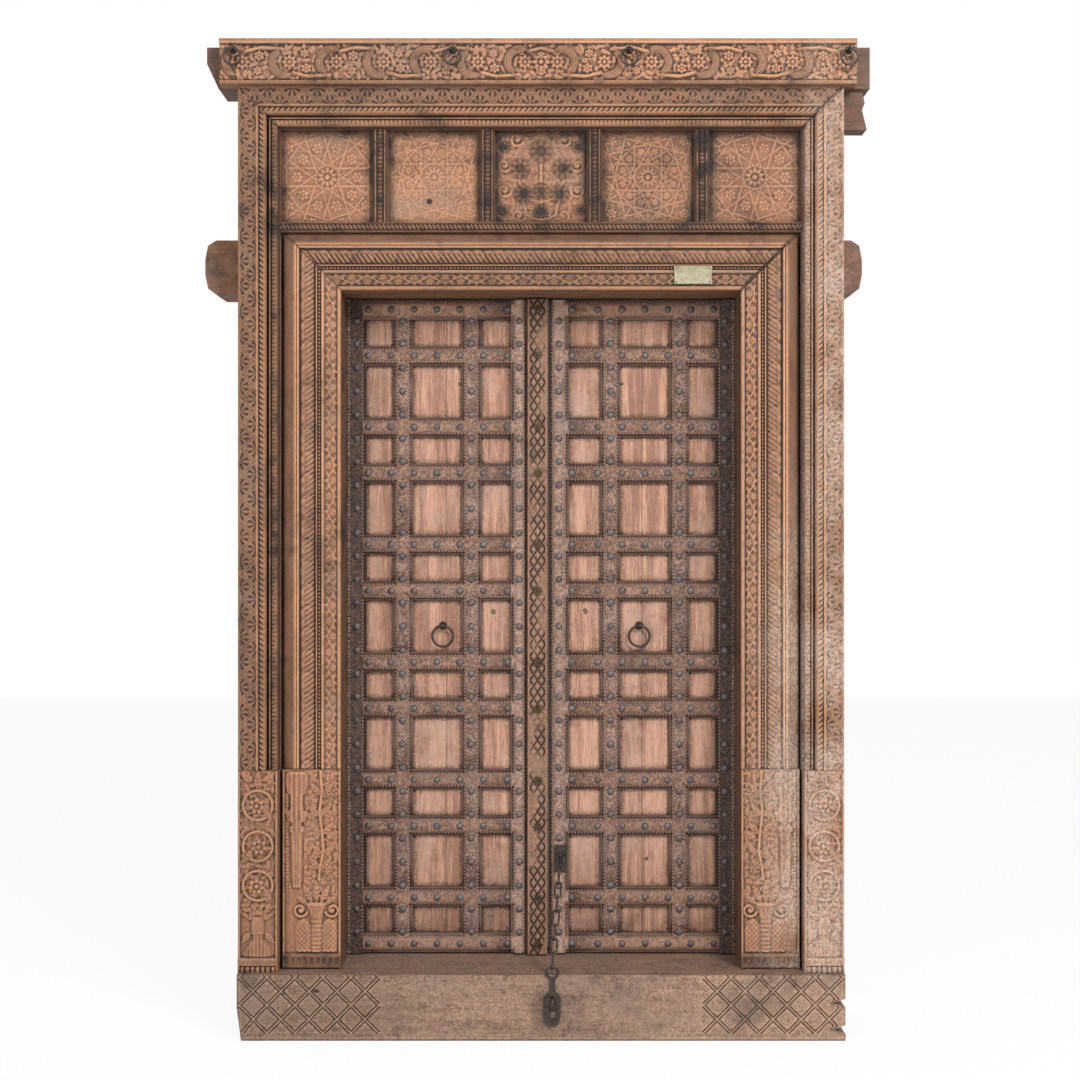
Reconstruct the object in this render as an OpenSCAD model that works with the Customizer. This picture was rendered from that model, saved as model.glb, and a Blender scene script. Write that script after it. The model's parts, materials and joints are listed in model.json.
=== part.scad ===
// Carved temple door: two lattice leaves that turn on wooden pivots in a double carved frame.
// Lengths are in millimetres. X runs along the sill, Y into the wall and Z up.
// The origin is on the centre line, under the sill, in the plane of the leaf pivots.

/* [Show] */
// Piece to build, or all of them

/* [Opening] */
// Clear width between the inner posts
opening_w = 1014; // [1000:2:1060]
// Clear height between the sill and the inner lintel
opening_h = 1721; // [1690:1:1790]

/* [Sill] */
// Length of the sill
sill_l = 1522; // [1500:2:1560]
// Height of the sill
sill_h = 165; // [140:1:200]
// How far the sill stands in front of the pivot plane
sill_front = 242; // [238:1:260]
// How far the sill reaches behind the pivot plane
sill_back = 58; // [50:1:90]
// Length of the lattice carving at each end of the sill
sill_lattice_l = 350; // [280:5:400]
// Diamonds along each lattice
sill_diamonds = 5; // [4:1:6]
// Width of the cut lines between the diamonds
sill_line_w = 7; // [4:0.5:9]
// Plain margin above the lattice and at its outer end
sill_margin = 6; // [4:0.5:10]
// Plain margin below the lattice
sill_foot_margin = 19; // [14:1:26]
// Length of the two splits in the right end
sill_split_l = 30; // [16:1:40]
// Height of a split at the end
sill_split_h = 22; // [12:1:26]
// Width of the piece broken off the lower left corner
sill_chip = 11; // [6:1:16]

/* [Outer frame] */
// Width of the outer posts and lintel
outer_w = 100; // [100:1:112]
// How far the outer frame stands in front of the pivot plane
outer_front = 217; // [212:1:228]
// Distance of its back from the pivot plane
outer_back = 110; // [105:1:125]
// Thickness of the mitred moulding
outer_mitre_t = 42; // [40:1:50]
// Width of the zigzag band with its fillets
zigzag_w = 50; // [44:1:54]
// Width of the fillet on each side of the zigzag
zigzag_fillet = 5; // [3:0.5:7]
// Length of one zigzag
zigzag_pitch = 63; // [50:1:80]
// Width of a zigzag line
zigzag_line = 5; // [3:0.5:7]
// Width of the rope moulding
rope_w = 19; // [15:1:20]
// Pitch of the rope's turns
rope_pitch = 13.5; // [11:0.5:18]
// Width of the deep groove
groove_w = 12; // [10:1:14]
// Depth of the deep groove
groove_d = 36; // [28:1:38]
// Width of the inner bead row
outer_bead_w = 15; // [12:1:16]
// Pitch of the inner bead row
outer_bead_pitch = 10.5; // [9:0.5:14]
// How far the inner bead row lies below the face
outer_bead_drop = 20; // [16:1:26]
// Gap between the outer and the inner frame
frame_gap = 7; // [3:1:10]
// Length of the outer lintel's horn at the right
outer_horn = 67; // [30:1:90]

/* [Inner frame] */
// Width of the inner posts and lintel
inner_w = 148; // [148:1:160]
// How far the inner frame stands in front of the pivot plane
inner_front = 184; // [178:1:192]
// Distance of the inner posts' back from the pivot plane
inner_back = 46; // [46:1:60]
// Thickness of the mitred moulding
inner_mitre_t = 49; // [44:1:56]
// Width of the dotted slope along the outer edge
slope_w = 30; // [24:1:34]
// Depth of that slope
slope_d = 22; // [14:1:28]
// Width of the fillet beside the slope
slope_fillet = 11; // [8:1:14]
// Width of the leaf band
leaf_w = 43; // [38:1:46]
// Rise of the leaf band's roll
leaf_rise = 7; // [4:0.5:9]
// Pitch of the leaves
leaf_pitch = 28; // [26:1:40]
// Depth of the ground between the leaves
leaf_cut = 3; // [1:0.5:4]
// Width of the bead row
inner_bead_w = 17; // [14:1:19]
// Depth of the bead row's groove
inner_bead_drop = 12; // [8:1:16]
// Pitch of the bead row
inner_bead_pitch = 9.5; // [8:0.5:12]
// Width of the flower meander
floral_w = 38; // [34:1:42]
// Pitch of the flower meander
floral_pitch = 79; // [60:1:100]
// How far the lintel reaches behind the pivot plane
lintel_back = 45; // [36:1:56]
// Length of the left horn beyond the outer post
horn_left = 103; // [60:1:130]
// Length of the right horn beyond the outer post
horn_right = 65; // [40:1:120]
// How much lower the horns are than the lintel
horn_drop = 10; // [6:1:24]

/* [Bases] */
// Height of the carved bases of the posts
base_h = 506; // [470:2:540]
// Relief of the carving on the bases
base_relief = 7; // [4:0.5:9]
// Height of the dentil strip at the foot
dentil_h = 30; // [20:1:40]
// Dentils across a foot
dentils = 7; // [5:1:9]

/* [Frieze] */
// Height of the frieze between the lintels
frieze_h = 260; // [252:1:280]
// Width of a frieze mullion
mullion_w = 37; // [34:1:44]
// Height of the beaded bottom rail
frieze_rail_h = 24; // [20:1:30]
// How far the panels stand in front of the pivot plane
panel_front = 160; // [156:1:168]
// Thickness of a panel
panel_t = 26; // [22:1:30]
// Depth of the panel tongues
tongue_d = 6; // [4:0.5:8]
// Thickness of the panel tongues
tongue_t = 12; // [10:0.5:14]
// Relief of the panel carving
panel_relief = 6; // [4:0.5:8]
// Width of a carved strap
strap_w = 5; // [4:0.5:7]
// Points of the stars in the end panels
star_points = 10; // [8:1:12]
// Petals of the rosettes beside the middle panel
rosette_petals = 12; // [8:1:14]

/* [Top] */
// Height of the carved fascia
fascia_h = 114; // [108:1:124]
// Thickness of the fascia
fascia_t = 42; // [36:1:48]
// How far the fascia stands proud of the outer frame
fascia_proud = 15; // [8:1:22]
// Reach of the fascia to the left of the centre
fascia_left = 806; // [780:1:830]
// Reach of the fascia to the right of the centre
fascia_right = 792; // [780:1:830]
// Relief of the fascia's scrolls
fascia_relief = 6; // [4:0.5:8]
// Fillet along the top of the fascia
fascia_fillet = 12; // [8:1:16]
// Pitch of the scrolls along the fascia
scroll_pitch = 117; // [105:1:124]
// Height of the top beam behind the fascia
top_beam_h = 104; // [96:1:108]
// Depth of the top beam
top_beam_d = 130; // [110:1:150]
// Reach of the top beam to the left of the centre
top_beam_left = 845; // [840:1:870]
// Reach of the top beam to the right of the centre
top_beam_right = 832; // [830:1:870]
// Rake of the top beam's left end
top_beam_rake = 30; // [10:1:34]

/* [Leaves] */
// How far a leaf reaches behind its post
leaf_overlap = 21; // [12:1:24]
// Clearance above a leaf
leaf_top_gap = 4; // [3:0.5:8]
// Clearance below a leaf
leaf_bottom_gap = 4; // [3:0.5:8]
// Distance of the meeting line from the centre line
meeting_x = 20; // [14:1:24]
// Gap between the two leaves
meeting_gap = 2; // [2:0.5:6]
// Thickness of the planks
plank_t = 30; // [29:1:36]
// Share of a leaf's width where its two planks meet
plank_seam_share = 0.44; // [0.42:0.01:0.5]
// Width of a batten
batten_w = 52; // [48:1:56]
// Thickness of a batten
batten_t = 22; // [18:1:25]
// Width of the flat on a batten
batten_flat = 28; // [24:1:32]
// Height of a batten's edge bead
batten_edge = 12; // [8:1:15]
// Width of the edge bead
batten_bead = 6; // [4:0.5:8]
// Width of the hanging stiles
hanging_w = 70; // [64:1:76]
// Distance of a pivot from the leaf's outer edge
pivot_inset = 23; // [20:1:24]
// Width of the left meeting stile
left_meeting_w = 44; // [40:1:48]
// Width of the right meeting stile
right_meeting_w = 52; // [48:1:56]
// Bay beside a hanging stile, as a share of the stile's distance from the centre line
narrow_share = 0.249; // [0.235:0.001:0.26]
// Bay between the two muntins, as a share of the same distance
wide_share = 0.373; // [0.355:0.001:0.385]
// Height of a short row of panels, as a share of the leaf between its end rails
short_share = 0.0728; // [0.0674:0.0001:0.0758]
// Radius of a turned pivot
pivot_r = 14; // [11:0.5:14.5]
// Length of the upper pivot in its socket
pivot_top_l = 44; // [30:1:60]
// Length of the lower pivot in its socket
pivot_bottom_l = 34; // [20:1:50]
// Clearance round a pivot
pivot_clear = 0.5; // [0.3:0.1:0.9]

/* [Cover strip] */
// Width of the cover strip on the left leaf
strip_w = 54; // [48:1:56]
// Thickness of the cover strip
strip_t = 34; // [30:1:38]
// Width of the strip's edge fillets
strip_fillet = 7; // [5:0.5:9]
// Depth of the strip's carved field
strip_sink = 4; // [2:0.5:6]
// Radius of a star ornament
star_r = 14; // [11:0.5:17]
// Thickness of a star ornament
star_t = 3; // [2:0.5:5]
// Rays of a star ornament
star_rays = 8; // [6:1:10]

/* [Bosses] */
// Radius of a boss
boss_r = 10; // [7:0.5:12]
// Height of a boss
boss_h = 7; // [5:0.5:9]

/* [Rings] */
// Radius of a leaf's pull ring, to the middle of its bar
pull_r = 27; // [22:0.5:32]
// Radius of the pull ring's bar
pull_bar_r = 3.3; // [2.5:0.1:3.8]
// Clearance between a hanging pull ring and the rail below it
pull_clear = 11.5; // [6:0.5:20]
// Distance of the pulls from the outer muntin, as a share of the wide bay
pull_x_share = 0.58; // [0.5:0.01:0.62]
// Radius of a fascia ring, to the middle of its bar
top_ring_r = 20.5; // [17:0.5:24]
// Radius of the fascia ring's bar
top_ring_bar_r = 3; // [2.5:0.1:3.6]
// Distance of the end rings from the centre line
end_ring_x = 770; // [745:1:778]
// Distance of the middle rings from the centre line
mid_ring_x = 221; // [205:1:240]
// Depth of the ring eyes below the top of the fascia
top_ring_drop = 30; // [26:1:40]
// Play of a ring's bar in its eye
eye_play = 0.8; // [0.7:0.1:0.9]
// Radius of a staple eye's bar
eye_bar_r = 2.3; // [2:0.1:2.6]
// Distance of an eye's middle from what carries it
eye_stand = 16; // [15:0.5:20]
// Radius of the rose under an eye
rose_r = 11; // [9:0.5:14]
// Thickness of the rose
rose_t = 3; // [2:0.5:4]

/* [Chain and hasp] */
// Distance of the chain's plate from the centre line
chain_x = 51; // [49:1:54]
// Height of the chain's eye above the floor
chain_z = 430; // [410:1:450]
// Width of the chain's plate
chain_plate_w = 34; // [28:1:38]
// Height of the chain's plate
chain_plate_h = 70; // [56:1:80]
// Thickness of the chain's plate
chain_plate_t = 4; // [3:0.5:6]
// Number of links
link_count = 8; // [6:2:10]
// Radius of a link's bar
link_bar_r = 2.6; // [2:0.1:2.8]
// Inner width of a link
link_in_w = 10; // [9:0.5:13]
// Play between two links
link_clear = 0.3; // [0.2:0.1:0.6]
// Distance of the hasp from the centre line
hasp_x = 28; // [20:1:32]
// Height of the hasp's eye above the floor
hasp_z = 186; // [180:1:200]
// Width of the hasp's plate
hasp_w = 42; // [36:1:48]
// Height of the hasp's plate
hasp_h = 84; // [76:1:90]
// Thickness of the hasp
hasp_t = 6; // [5:0.5:8]
// Distance of the hasp's middle from the sill
hasp_stand = 7; // [6:0.5:9]
// Width of the hasp's slot
slot_w = 17; // [15:0.5:19]
// Length of the hasp's slot
slot_l = 57; // [52:1:60]
// Height of the slot above the hasp's tip
slot_foot = 18; // [14:1:20]
// Play between the slot's upper end and the staple
slot_play = 3; // [2:0.5:5]
// Length of the hasp's shank
shank_l = 34; // [28:1:40]
// Width of the hasp's shank
shank_w = 14; // [10:1:18]
// Radius of the hasp's eye, to the middle of its bar
hasp_eye_r = 14; // [11:0.5:18]
// Radius of that bar
hasp_bar_r = 3; // [2.4:0.1:3.2]
// Radius of the sill's staple, to the middle of its bar
staple_r = 15; // [12:0.5:17]
// Radius of the staple's bar
staple_bar_r = 4.5; // [3.5:0.1:5]

/* [Joinery] */
// Length of the posts' tenons in the sill
tenon_l = 40; // [20:1:60]
// Thickness of the tenons
tenon_t = 34; // [24:1:40]
// Play round a tenon
tenon_clear = 0.5; // [0.3:0.1:1]
// Width of the wedge that splits off a timber's worn end
worn = 14; // [6:1:20]

/* [Colours] */
// Oiled dark hardwood of the frame
wood_color = "#8a5f43";
// Drier wood of the planks
plank_color = "#a87d62";
// Wood of the battens
batten_color = "#7d604f";
// Forged iron
iron_color = "#4a4340";
// Metal of the star ornaments
star_color = "#6d5a3c";

/* [Hidden] */
$fn = 48;
// Overrun of a cut and bedding of a relief
over = 2;
bed = 1;
small_fn = 10;

opening_half = opening_w / 2;
inner_half = opening_half + inner_w;
outer_in = inner_half + frame_gap;
outer_half = outer_in + outer_w;
z_sill = sill_h;
z_base = z_sill + base_h;
z_soffit = z_sill + opening_h;
z_inner = z_soffit + inner_w;
z_frieze = z_inner + frieze_rail_h;
z_outer = z_inner + frieze_h;
z_head = z_outer + outer_w;
z_top = z_head + fascia_h;
fascia_front = outer_front + fascia_proud;
fascia_back = fascia_front - fascia_t;
top_beam_back = fascia_back - top_beam_d;

leaf_out = opening_half + leaf_overlap;
leaf_z = z_sill + leaf_bottom_gap;
leaf_top = z_soffit - leaf_top_gap;
leaf_h = leaf_top - leaf_z;
pivot_x = leaf_out - pivot_inset;
hanging_in = leaf_out - hanging_w;
hanging_mid = (hanging_in + opening_half) / 2;
narrow_bay = hanging_mid * narrow_share;
wide_bay = hanging_mid * wide_share;
plank_front = plank_t / 2;
batten_front = plank_front + batten_t;
strip_front = plank_front + strip_t;
left_edge = meeting_x - meeting_gap / 2;
right_edge = meeting_x + meeting_gap / 2;

// Rails of a leaf from the bottom up: short and tall rows take turns
short_rows = 6;
tall_rows = 5;
rail_count = short_rows + tall_rows + 1;
short_row = (leaf_h - batten_w) * short_share;
tall_row = (leaf_h - batten_w - short_rows * short_row) / tall_rows;
function rail_z(i) = leaf_z + batten_w / 2 + ceil(i / 2) * short_row + floor(i / 2) * tall_row;

// Middles of the four uprights of each leaf, from the hanging stile to the meeting stile
left_uprights = [-hanging_mid, -hanging_mid + narrow_bay, -hanging_mid + narrow_bay + wide_bay,
  left_edge - strip_w - left_meeting_w / 2];
right_uprights = [hanging_mid, hanging_mid - narrow_bay, hanging_mid - narrow_bay - wide_bay,
  right_edge + right_meeting_w / 2];
left_rail_ends = [-hanging_in, left_edge - strip_w - left_meeting_w];
right_rail_ends = [right_edge + right_meeting_w, hanging_in];
pull_row = 5;
pull_x = hanging_mid - narrow_bay - wide_bay * pull_x_share;
pull_z = rail_z(pull_row) + batten_w / 2 + pull_clear + 2 * pull_r + pull_bar_r;

panel_count = 5;
panel_w = (2 * outer_in - (panel_count - 1) * mullion_w) / panel_count;
panel_h = z_outer - z_frieze;
mullion_front = inner_front;
mullion_back = panel_front - panel_t;
function panel_x(i) = -outer_in + panel_w / 2 + i * (panel_w + mullion_w);

chain_eye = [chain_x, -batten_front - chain_plate_t - eye_stand, chain_z];
hasp_eye = [hasp_x, -sill_front - hasp_stand, hasp_z];
chain_run = hasp_eye - chain_eye;
chain_l = norm(chain_run);
link_pitch = (chain_l - link_bar_r + hasp_bar_r) / link_count;
link_in_l = link_pitch + link_clear;
chain_lean = asin(chain_run[1] / chain_l);
chain_yaw = asin(-chain_run[0] / (chain_l * cos(chain_lean)));
chain_plate_z = chain_z - chain_plate_h / 6;
hasp_top = hasp_z - 2 * hasp_eye_r - shank_l;
slot_z = hasp_top - hasp_h + slot_foot;
staple_z = slot_z + slot_l - slot_play - staple_r - staple_bar_r;

// Placing

// A flat drawing of X and Z, raised towards the front from the plane y
module relief(y, h) {
  translate([0, y + bed, 0])
    rotate([90, 0, 0])
      linear_extrude(h + bed) children();
}

// A box between two corners
module span(low, high) {
  translate(low) cube(high - low);
}

// A copy on the left for side -1, and the drawn one on the right for side 1
module on_side(side) {
  if (side > 0) children();
  else mirror([1, 0, 0]) children();
}

// Flat drawings

mid_share = 0.5;

// Triangles that leave a zigzag line of width t between them, from z = 0 to l and x = 0 to w
module zigzag(l, w, pitch, t) {
  n = 2 * floor(l / pitch);
  step = l / n;
  for (i = [1:n - 1])
    translate([i % 2 == 0 ? 0 : w, i * step])
      mirror([i % 2, 0])
        polygon([[t / 2, -step + t], [w - t, 0], [t / 2, step - t]]);
}

// A wave from z = 0 to l about x = 0
wave_steps = 8;
module wave(l, swing, pitch, t) {
  n = max(1, round(l / pitch));
  step = l / (n * wave_steps);
  p = [for (i = [0:n * wave_steps]) [swing * sin(i * 360 / wave_steps), i * step]];
  polygon(concat([for (q = p) q - [t / 2, 0]], [for (i = [len(p) - 1:-1:0]) p[i] + [t / 2, 0]]));
}

// An arc of radius r that thins from t at angle a0 to a point at angle a1
arc_steps = 10;
module crescent(r, t, a0, a1) {
  function at(i) = a0 + (a1 - a0) * i / arc_steps;
  outer = [for (i = [0:arc_steps]) r * [cos(at(i)), sin(at(i))]];
  inner = [for (i = [arc_steps - 1:-1:0])
    (r - t * (1 - i / arc_steps)) * [cos(at(i)), sin(at(i))]];
  polygon(concat(outer, inner));
}

// A ring of radius r with a bar of width t
module hoop(r, t) {
  difference() {
    circle(r);
    circle(r - t);
  }
}

// A star with n points
module star(n, r, waist_share) {
  polygon([for (i = [0:2 * n - 1])
    r * (i % 2 == 0 ? 1 : waist_share) * [sin(i * 180 / n), cos(i * 180 / n)]]);
}

// A flower with n petals
petal_share = 0.42;
module flower(n, r) {
  star(n, r, petal_share);
}

// A pointed petal from the origin upwards
petal_belly_share = 0.6;
module petal(l, w) {
  polygon([[0, 0], [w / 2, l * petal_belly_share], [0, l], [-w / 2, l * petal_belly_share]]);
}

// A vase of height h and width w, standing on z = 0
vase_shares = [[0.3, 0], [0.34, 0.06], [0.16, 0.12], [0.42, 0.26], [0.5, 0.42], [0.4, 0.58],
  [0.18, 0.68], [0.2, 0.78], [0.36, 0.9], [0.44, 1]];
module vase(w, h) {
  right = [for (s = vase_shares) [s[0] * w, s[1] * h]];
  polygon(concat(right, [for (i = [len(right) - 1:-1:0]) [-right[i][0], right[i][1]]]));
}

// A row of beads along X from 0 to l, on a floor of height 0, drawn in X and Y
bead_flat_share = 0.5;
module bead_row(l, pitch, h, base) {
  n = max(1, round(l / pitch));
  step = l / n;
  waist = step * (1 - bead_flat_share) / 2;
  polygon(concat([[0, -base]],
    [for (i = [0:n - 1]) each [[i * step, 0], [i * step + waist, h], [(i + 1) * step - waist, h]]],
    [[l, 0], [l, -base]]));
}

// Upright rows of beads: length along Z, height towards the front, width along X
module upright_beads(w, l, pitch, h, base) {
  rotate([180, -90, 0]) linear_extrude(w) bead_row(l, pitch, h, base);
}

// Level rows of beads: length along X, height towards the front, width downwards
module level_beads(w, l, pitch, h, base) {
  rotate([180, 0, 0]) linear_extrude(w) bead_row(l, pitch, h, base);
}

// Mouldings

zigzag_sink = 3;
zigzag_rise = 2.5;
rope_sink = rope_w / 2;
rope_h = rope_w / 2 - over;
bead_side = 1;
outer_bead_h = outer_bead_w / 3;
outer_edge_w = outer_w - zigzag_w - rope_w - groove_w - outer_bead_w;
zigzag_field_w = zigzag_w - 2 * zigzag_fillet;

// Section of the outer frame: x inwards from the outer edge, y towards the back
module outer_section() {
  t = outer_mitre_t;
  f = zigzag_fillet;
  z = zigzag_w;
  r = z + rope_w;
  g = r + groove_w;
  b = g + outer_bead_w;
  polygon([[0, 0], [f, 0], [f, zigzag_sink], [z - f, zigzag_sink], [z - f, 0], [z, 0],
    [z, rope_sink], [r, rope_sink], [r, groove_d], [g, groove_d], [g, outer_bead_drop],
    [b, outer_bead_drop], [b, groove_d], [outer_w, groove_d], [outer_w, t], [0, t]]);
}

leaf_arc_steps = 6;
inner_bead_h = inner_bead_w / 3;
inner_leaf_x = slope_w + slope_fillet;
inner_bead_x = inner_leaf_x + leaf_w;
inner_floral_x = inner_bead_x + inner_bead_w;
floral_sink = 4;
floral_fillet = 4;

// Section of the inner frame: x inwards from the outer edge, y towards the back
module inner_section() {
  t = inner_mitre_t;
  leaf = [for (i = [0:leaf_arc_steps])
    [inner_leaf_x + leaf_w * i / leaf_arc_steps,
      leaf_cut + leaf_rise - leaf_rise * sin(180 * i / leaf_arc_steps)]];
  x = inner_floral_x;
  polygon(concat([[0, slope_d], [slope_w, 0], [inner_leaf_x, 0]], leaf,
    [[inner_bead_x, inner_bead_drop], [x, inner_bead_drop], [x, 0], [x + floral_fillet, 0],
     [x + floral_fillet, floral_sink], [x + floral_w, floral_sink], [x + floral_w, 0],
     [inner_w, 0], [inner_w, t], [0, t]]));
}

// Cuts a post's moulding, drawn on the right, along its mitre
module post_mitre(low, high, front, t) {
  difference() {
    children();
    translate([0, -front + t + over, 0])
      rotate([90, 0, 0])
        linear_extrude(t + 2 * over + base_relief)
          polygon([[low[0] - over, low[1] - over], [high[0] + over, high[1] + over],
            [low[0] - over, high[1] + over]]);
  }
}

// Cuts both ends of a lintel's moulding along their mitres
module lintel_mitre(low, high, front, t) {
  difference() {
    children();
    for (side = [-1, 1])
      on_side(side)
        translate([0, -front + t + over, 0])
          rotate([90, 0, 0])
            linear_extrude(t + 2 * over + base_relief)
              polygon([[low[0] - over, low[1] - over], [high[0] + over, high[1] + over],
                [high[0] + over, low[1] - over]]);
  }
}

outer_low = [outer_in, z_outer];
outer_high = [outer_half, z_head];
inner_low = [opening_half, z_soffit];
inner_high = [inner_half, z_inner];

// Moulding of an outer post, drawn on the right
module outer_moulding_up() {
  l = z_head - z_base;
  face = -outer_front;
  translate([outer_half, face, z_base])
    mirror([1, 0, 0]) linear_extrude(l) outer_section();
  relief(face + zigzag_sink, zigzag_rise)
    translate([outer_half - zigzag_w + zigzag_fillet, z_base])
      zigzag(l, zigzag_field_w, zigzag_pitch, zigzag_line);
  translate([outer_half - zigzag_w - rope_w + bead_side, face + rope_sink, z_base])
    upright_beads(rope_w - 2 * bead_side, l, rope_pitch, rope_h, bed);
  translate([outer_in + outer_edge_w + bead_side, face + outer_bead_drop, z_base])
    upright_beads(outer_bead_w - 2 * bead_side, l, outer_bead_pitch, outer_bead_h, bed);
}

// Moulding of the outer lintel
module outer_moulding_across() {
  l = 2 * outer_half;
  face = -outer_front;
  translate([-outer_half, face, z_head])
    rotate([0, 90, 0]) linear_extrude(l) outer_section();
  relief(face + zigzag_sink, zigzag_rise)
    translate([-outer_half, z_head - zigzag_fillet])
      rotate([0, 0, -90])
        zigzag(l, zigzag_field_w, zigzag_pitch, zigzag_line);
  translate([-outer_half, face + rope_sink, z_head - zigzag_w - bead_side])
    level_beads(rope_w - 2 * bead_side, l, rope_pitch, rope_h, bed);
  translate([-outer_half, face + outer_bead_drop, z_outer + outer_edge_w + outer_bead_w - bead_side])
    level_beads(outer_bead_w - 2 * bead_side, l, outer_bead_pitch, outer_bead_h, bed);
}

// Slanted leaves on the roll, along Z from 0 to l
leaf_lean = 50;
leaf_l_share = 0.92;
leaf_wide_share = 0.32;
module leaf_row(l) {
  n = round(l / leaf_pitch);
  step = l / n;
  for (i = [0:n - 1])
    translate([0, (i + mid_share) * step])
      rotate([0, 0, leaf_lean])
        translate([0, -leaf_w * leaf_l_share / 2]) petal(leaf_w * leaf_l_share, leaf_w * leaf_wide_share);
}

// Moulding of an inner post, drawn on the right
module inner_moulding_up() {
  l = z_inner - z_base;
  face = -inner_front;
  translate([inner_half, face, z_base])
    mirror([1, 0, 0]) linear_extrude(l) inner_section();
  relief(face + leaf_cut + leaf_rise, leaf_cut + leaf_rise)
    translate([inner_half - inner_leaf_x - leaf_w / 2, z_base]) leaf_row(l);
  translate([inner_half - inner_floral_x + bead_side, face + inner_bead_drop, z_base])
    upright_beads(inner_bead_w - 2 * bead_side, l, inner_bead_pitch, inner_bead_h, bed);
  relief(face + floral_sink, floral_sink)
    translate([inner_half - inner_floral_x - floral_w / 2 - floral_fillet / 2, z_base])
      meander(l);
}

// Moulding of the inner lintel
module inner_moulding_across() {
  l = 2 * inner_half;
  face = -inner_front;
  translate([-inner_half, face, z_inner])
    rotate([0, 90, 0]) linear_extrude(l) inner_section();
  relief(face + leaf_cut + leaf_rise, leaf_cut + leaf_rise)
    translate([-inner_half, z_inner - inner_leaf_x - leaf_w / 2])
      rotate([0, 0, -90]) leaf_row(l);
  translate([-inner_half, face + inner_bead_drop, z_inner - inner_bead_x - bead_side])
    level_beads(inner_bead_w - 2 * bead_side, l, inner_bead_pitch, inner_bead_h, bed);
  relief(face + floral_sink, floral_sink)
    translate([-inner_half, z_inner - inner_floral_x - floral_w / 2 - floral_fillet / 2])
      rotate([0, 0, -90]) meander(l);
}

// A vine that winds from flower to flower, along Z from 0 to l
vine_w = 4;
vine_swing = floral_w / 5;
vine_flower_r = floral_w / 5;
vine_petals = 6;
vine_lean_share = 0.6;
vine_flower_shares = [0.25, 0.75];
module meander(l) {
  n = round(l / floral_pitch);
  step = l / n;
  wave(l, vine_swing, step, vine_w);
  for (i = [0:n - 1])
    for (k = [0, 1])
      translate([vine_swing * (2 * k - 1) * vine_lean_share, (i + vine_flower_shares[k]) * step])
        flower(vine_petals, vine_flower_r);
}

// Carving of the bases

roundel_share = 0.42;
roundel_r = outer_w * roundel_share;
roundel_bar = 6;
roundel_petals = 8;
roundel_flower_share = 0.6;
foot_vase_share = 0.8;
dentil_gap_share = 0.35;
roundels = 3;

// A strip of dentils from x0 to x1
module dentil_strip(x0, x1, z) {
  step = (x1 - x0) / dentils;
  for (i = [0:dentils - 1])
    translate([x0 + (i + dentil_gap_share / 2) * step, z]) square([step * (1 - dentil_gap_share), dentil_h]);
}

// Stacked roundels over a vase, on the outer base
module outer_base_carving() {
  x = (outer_in + outer_half) / 2;
  for (i = [0:roundels - 1])
    translate([x, z_base - (2 * i + 1) * (roundel_r + roundel_bar / 2) - roundel_bar]) {
      hoop(roundel_r, roundel_bar);
      flower(roundel_petals, roundel_r * roundel_flower_share);
    }
  vase_h = base_h - roundels * (2 * roundel_r + roundel_bar) - dentil_h - 3 * roundel_bar;
  translate([x, z_sill + dentil_h + roundel_bar]) vase(outer_w * foot_vase_share, vase_h);
  dentil_strip(outer_in + roundel_bar, outer_half - roundel_bar, z_sill);
}

pilaster_share = 0.22;
pilaster_top_share = 0.08;
urn_w_share = 0.72;
urn_h_share = 0.3;
volute_share = 0.2;
volute_bar = 9;
stem_w = 7;
arabesque_rows = 3;
capital_share = 0.3;
volute_from = 200;
volute_to = -60;

// A pilaster, an arabesque and a vase of plenty, on the inner base
module inner_base_carving() {
  pil_w = inner_w * pilaster_share;
  field = inner_w - pil_w;
  x = opening_half + field / 2;
  urn_h = base_h * urn_h_share;
  urn_z = z_sill + dentil_h + volute_bar;
  stem_z = urn_z + urn_h;
  stem_h = z_base - volute_bar - stem_z;
  r = field * volute_share;
  translate([inner_half - pil_w, urn_z]) square([pil_w, base_h - dentil_h - 2 * volute_bar]);
  translate([inner_half - pil_w * (1 + capital_share), z_base - volute_bar - base_h * pilaster_top_share])
    square([pil_w * (1 + capital_share), base_h * pilaster_top_share]);
  translate([x, urn_z]) vase(field * urn_w_share, urn_h);
  translate([x - stem_w / 2, stem_z - bed]) square([stem_w, stem_h]);
  for (i = [0:arabesque_rows - 1])
    for (side = [0, 1])
      translate([x, stem_z + (i + mid_share) * stem_h / arabesque_rows])
        mirror([side, 0]) {
          translate([r, 0]) crescent(r, volute_bar, volute_from, volute_to);
          translate([r, 0]) flower(vine_petals, r * mid_share);
        }
  dentil_strip(opening_half + volute_bar, inner_half - volute_bar, z_sill);
}

// Frame

// A tenon or its mortise, grown by a play
module tenon(x0, x1, front, back, play) {
  mid = -(front + back) / 2;
  inset = (x1 - x0) / 4;
  span([x0 + inset - play, mid - tenon_t / 2 - play, z_sill - tenon_l - (play > 0 ? tenon_clear : 0)],
    [x1 - inset + play, mid + tenon_t / 2 + play, z_sill + (play > 0 ? over : bed)]);
}

module outer_tenon(play) {
  tenon(outer_in, outer_half, outer_front, outer_back, play);
}

module inner_tenon(play) {
  tenon(opening_half, inner_half, inner_front, inner_back, play);
}

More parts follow.
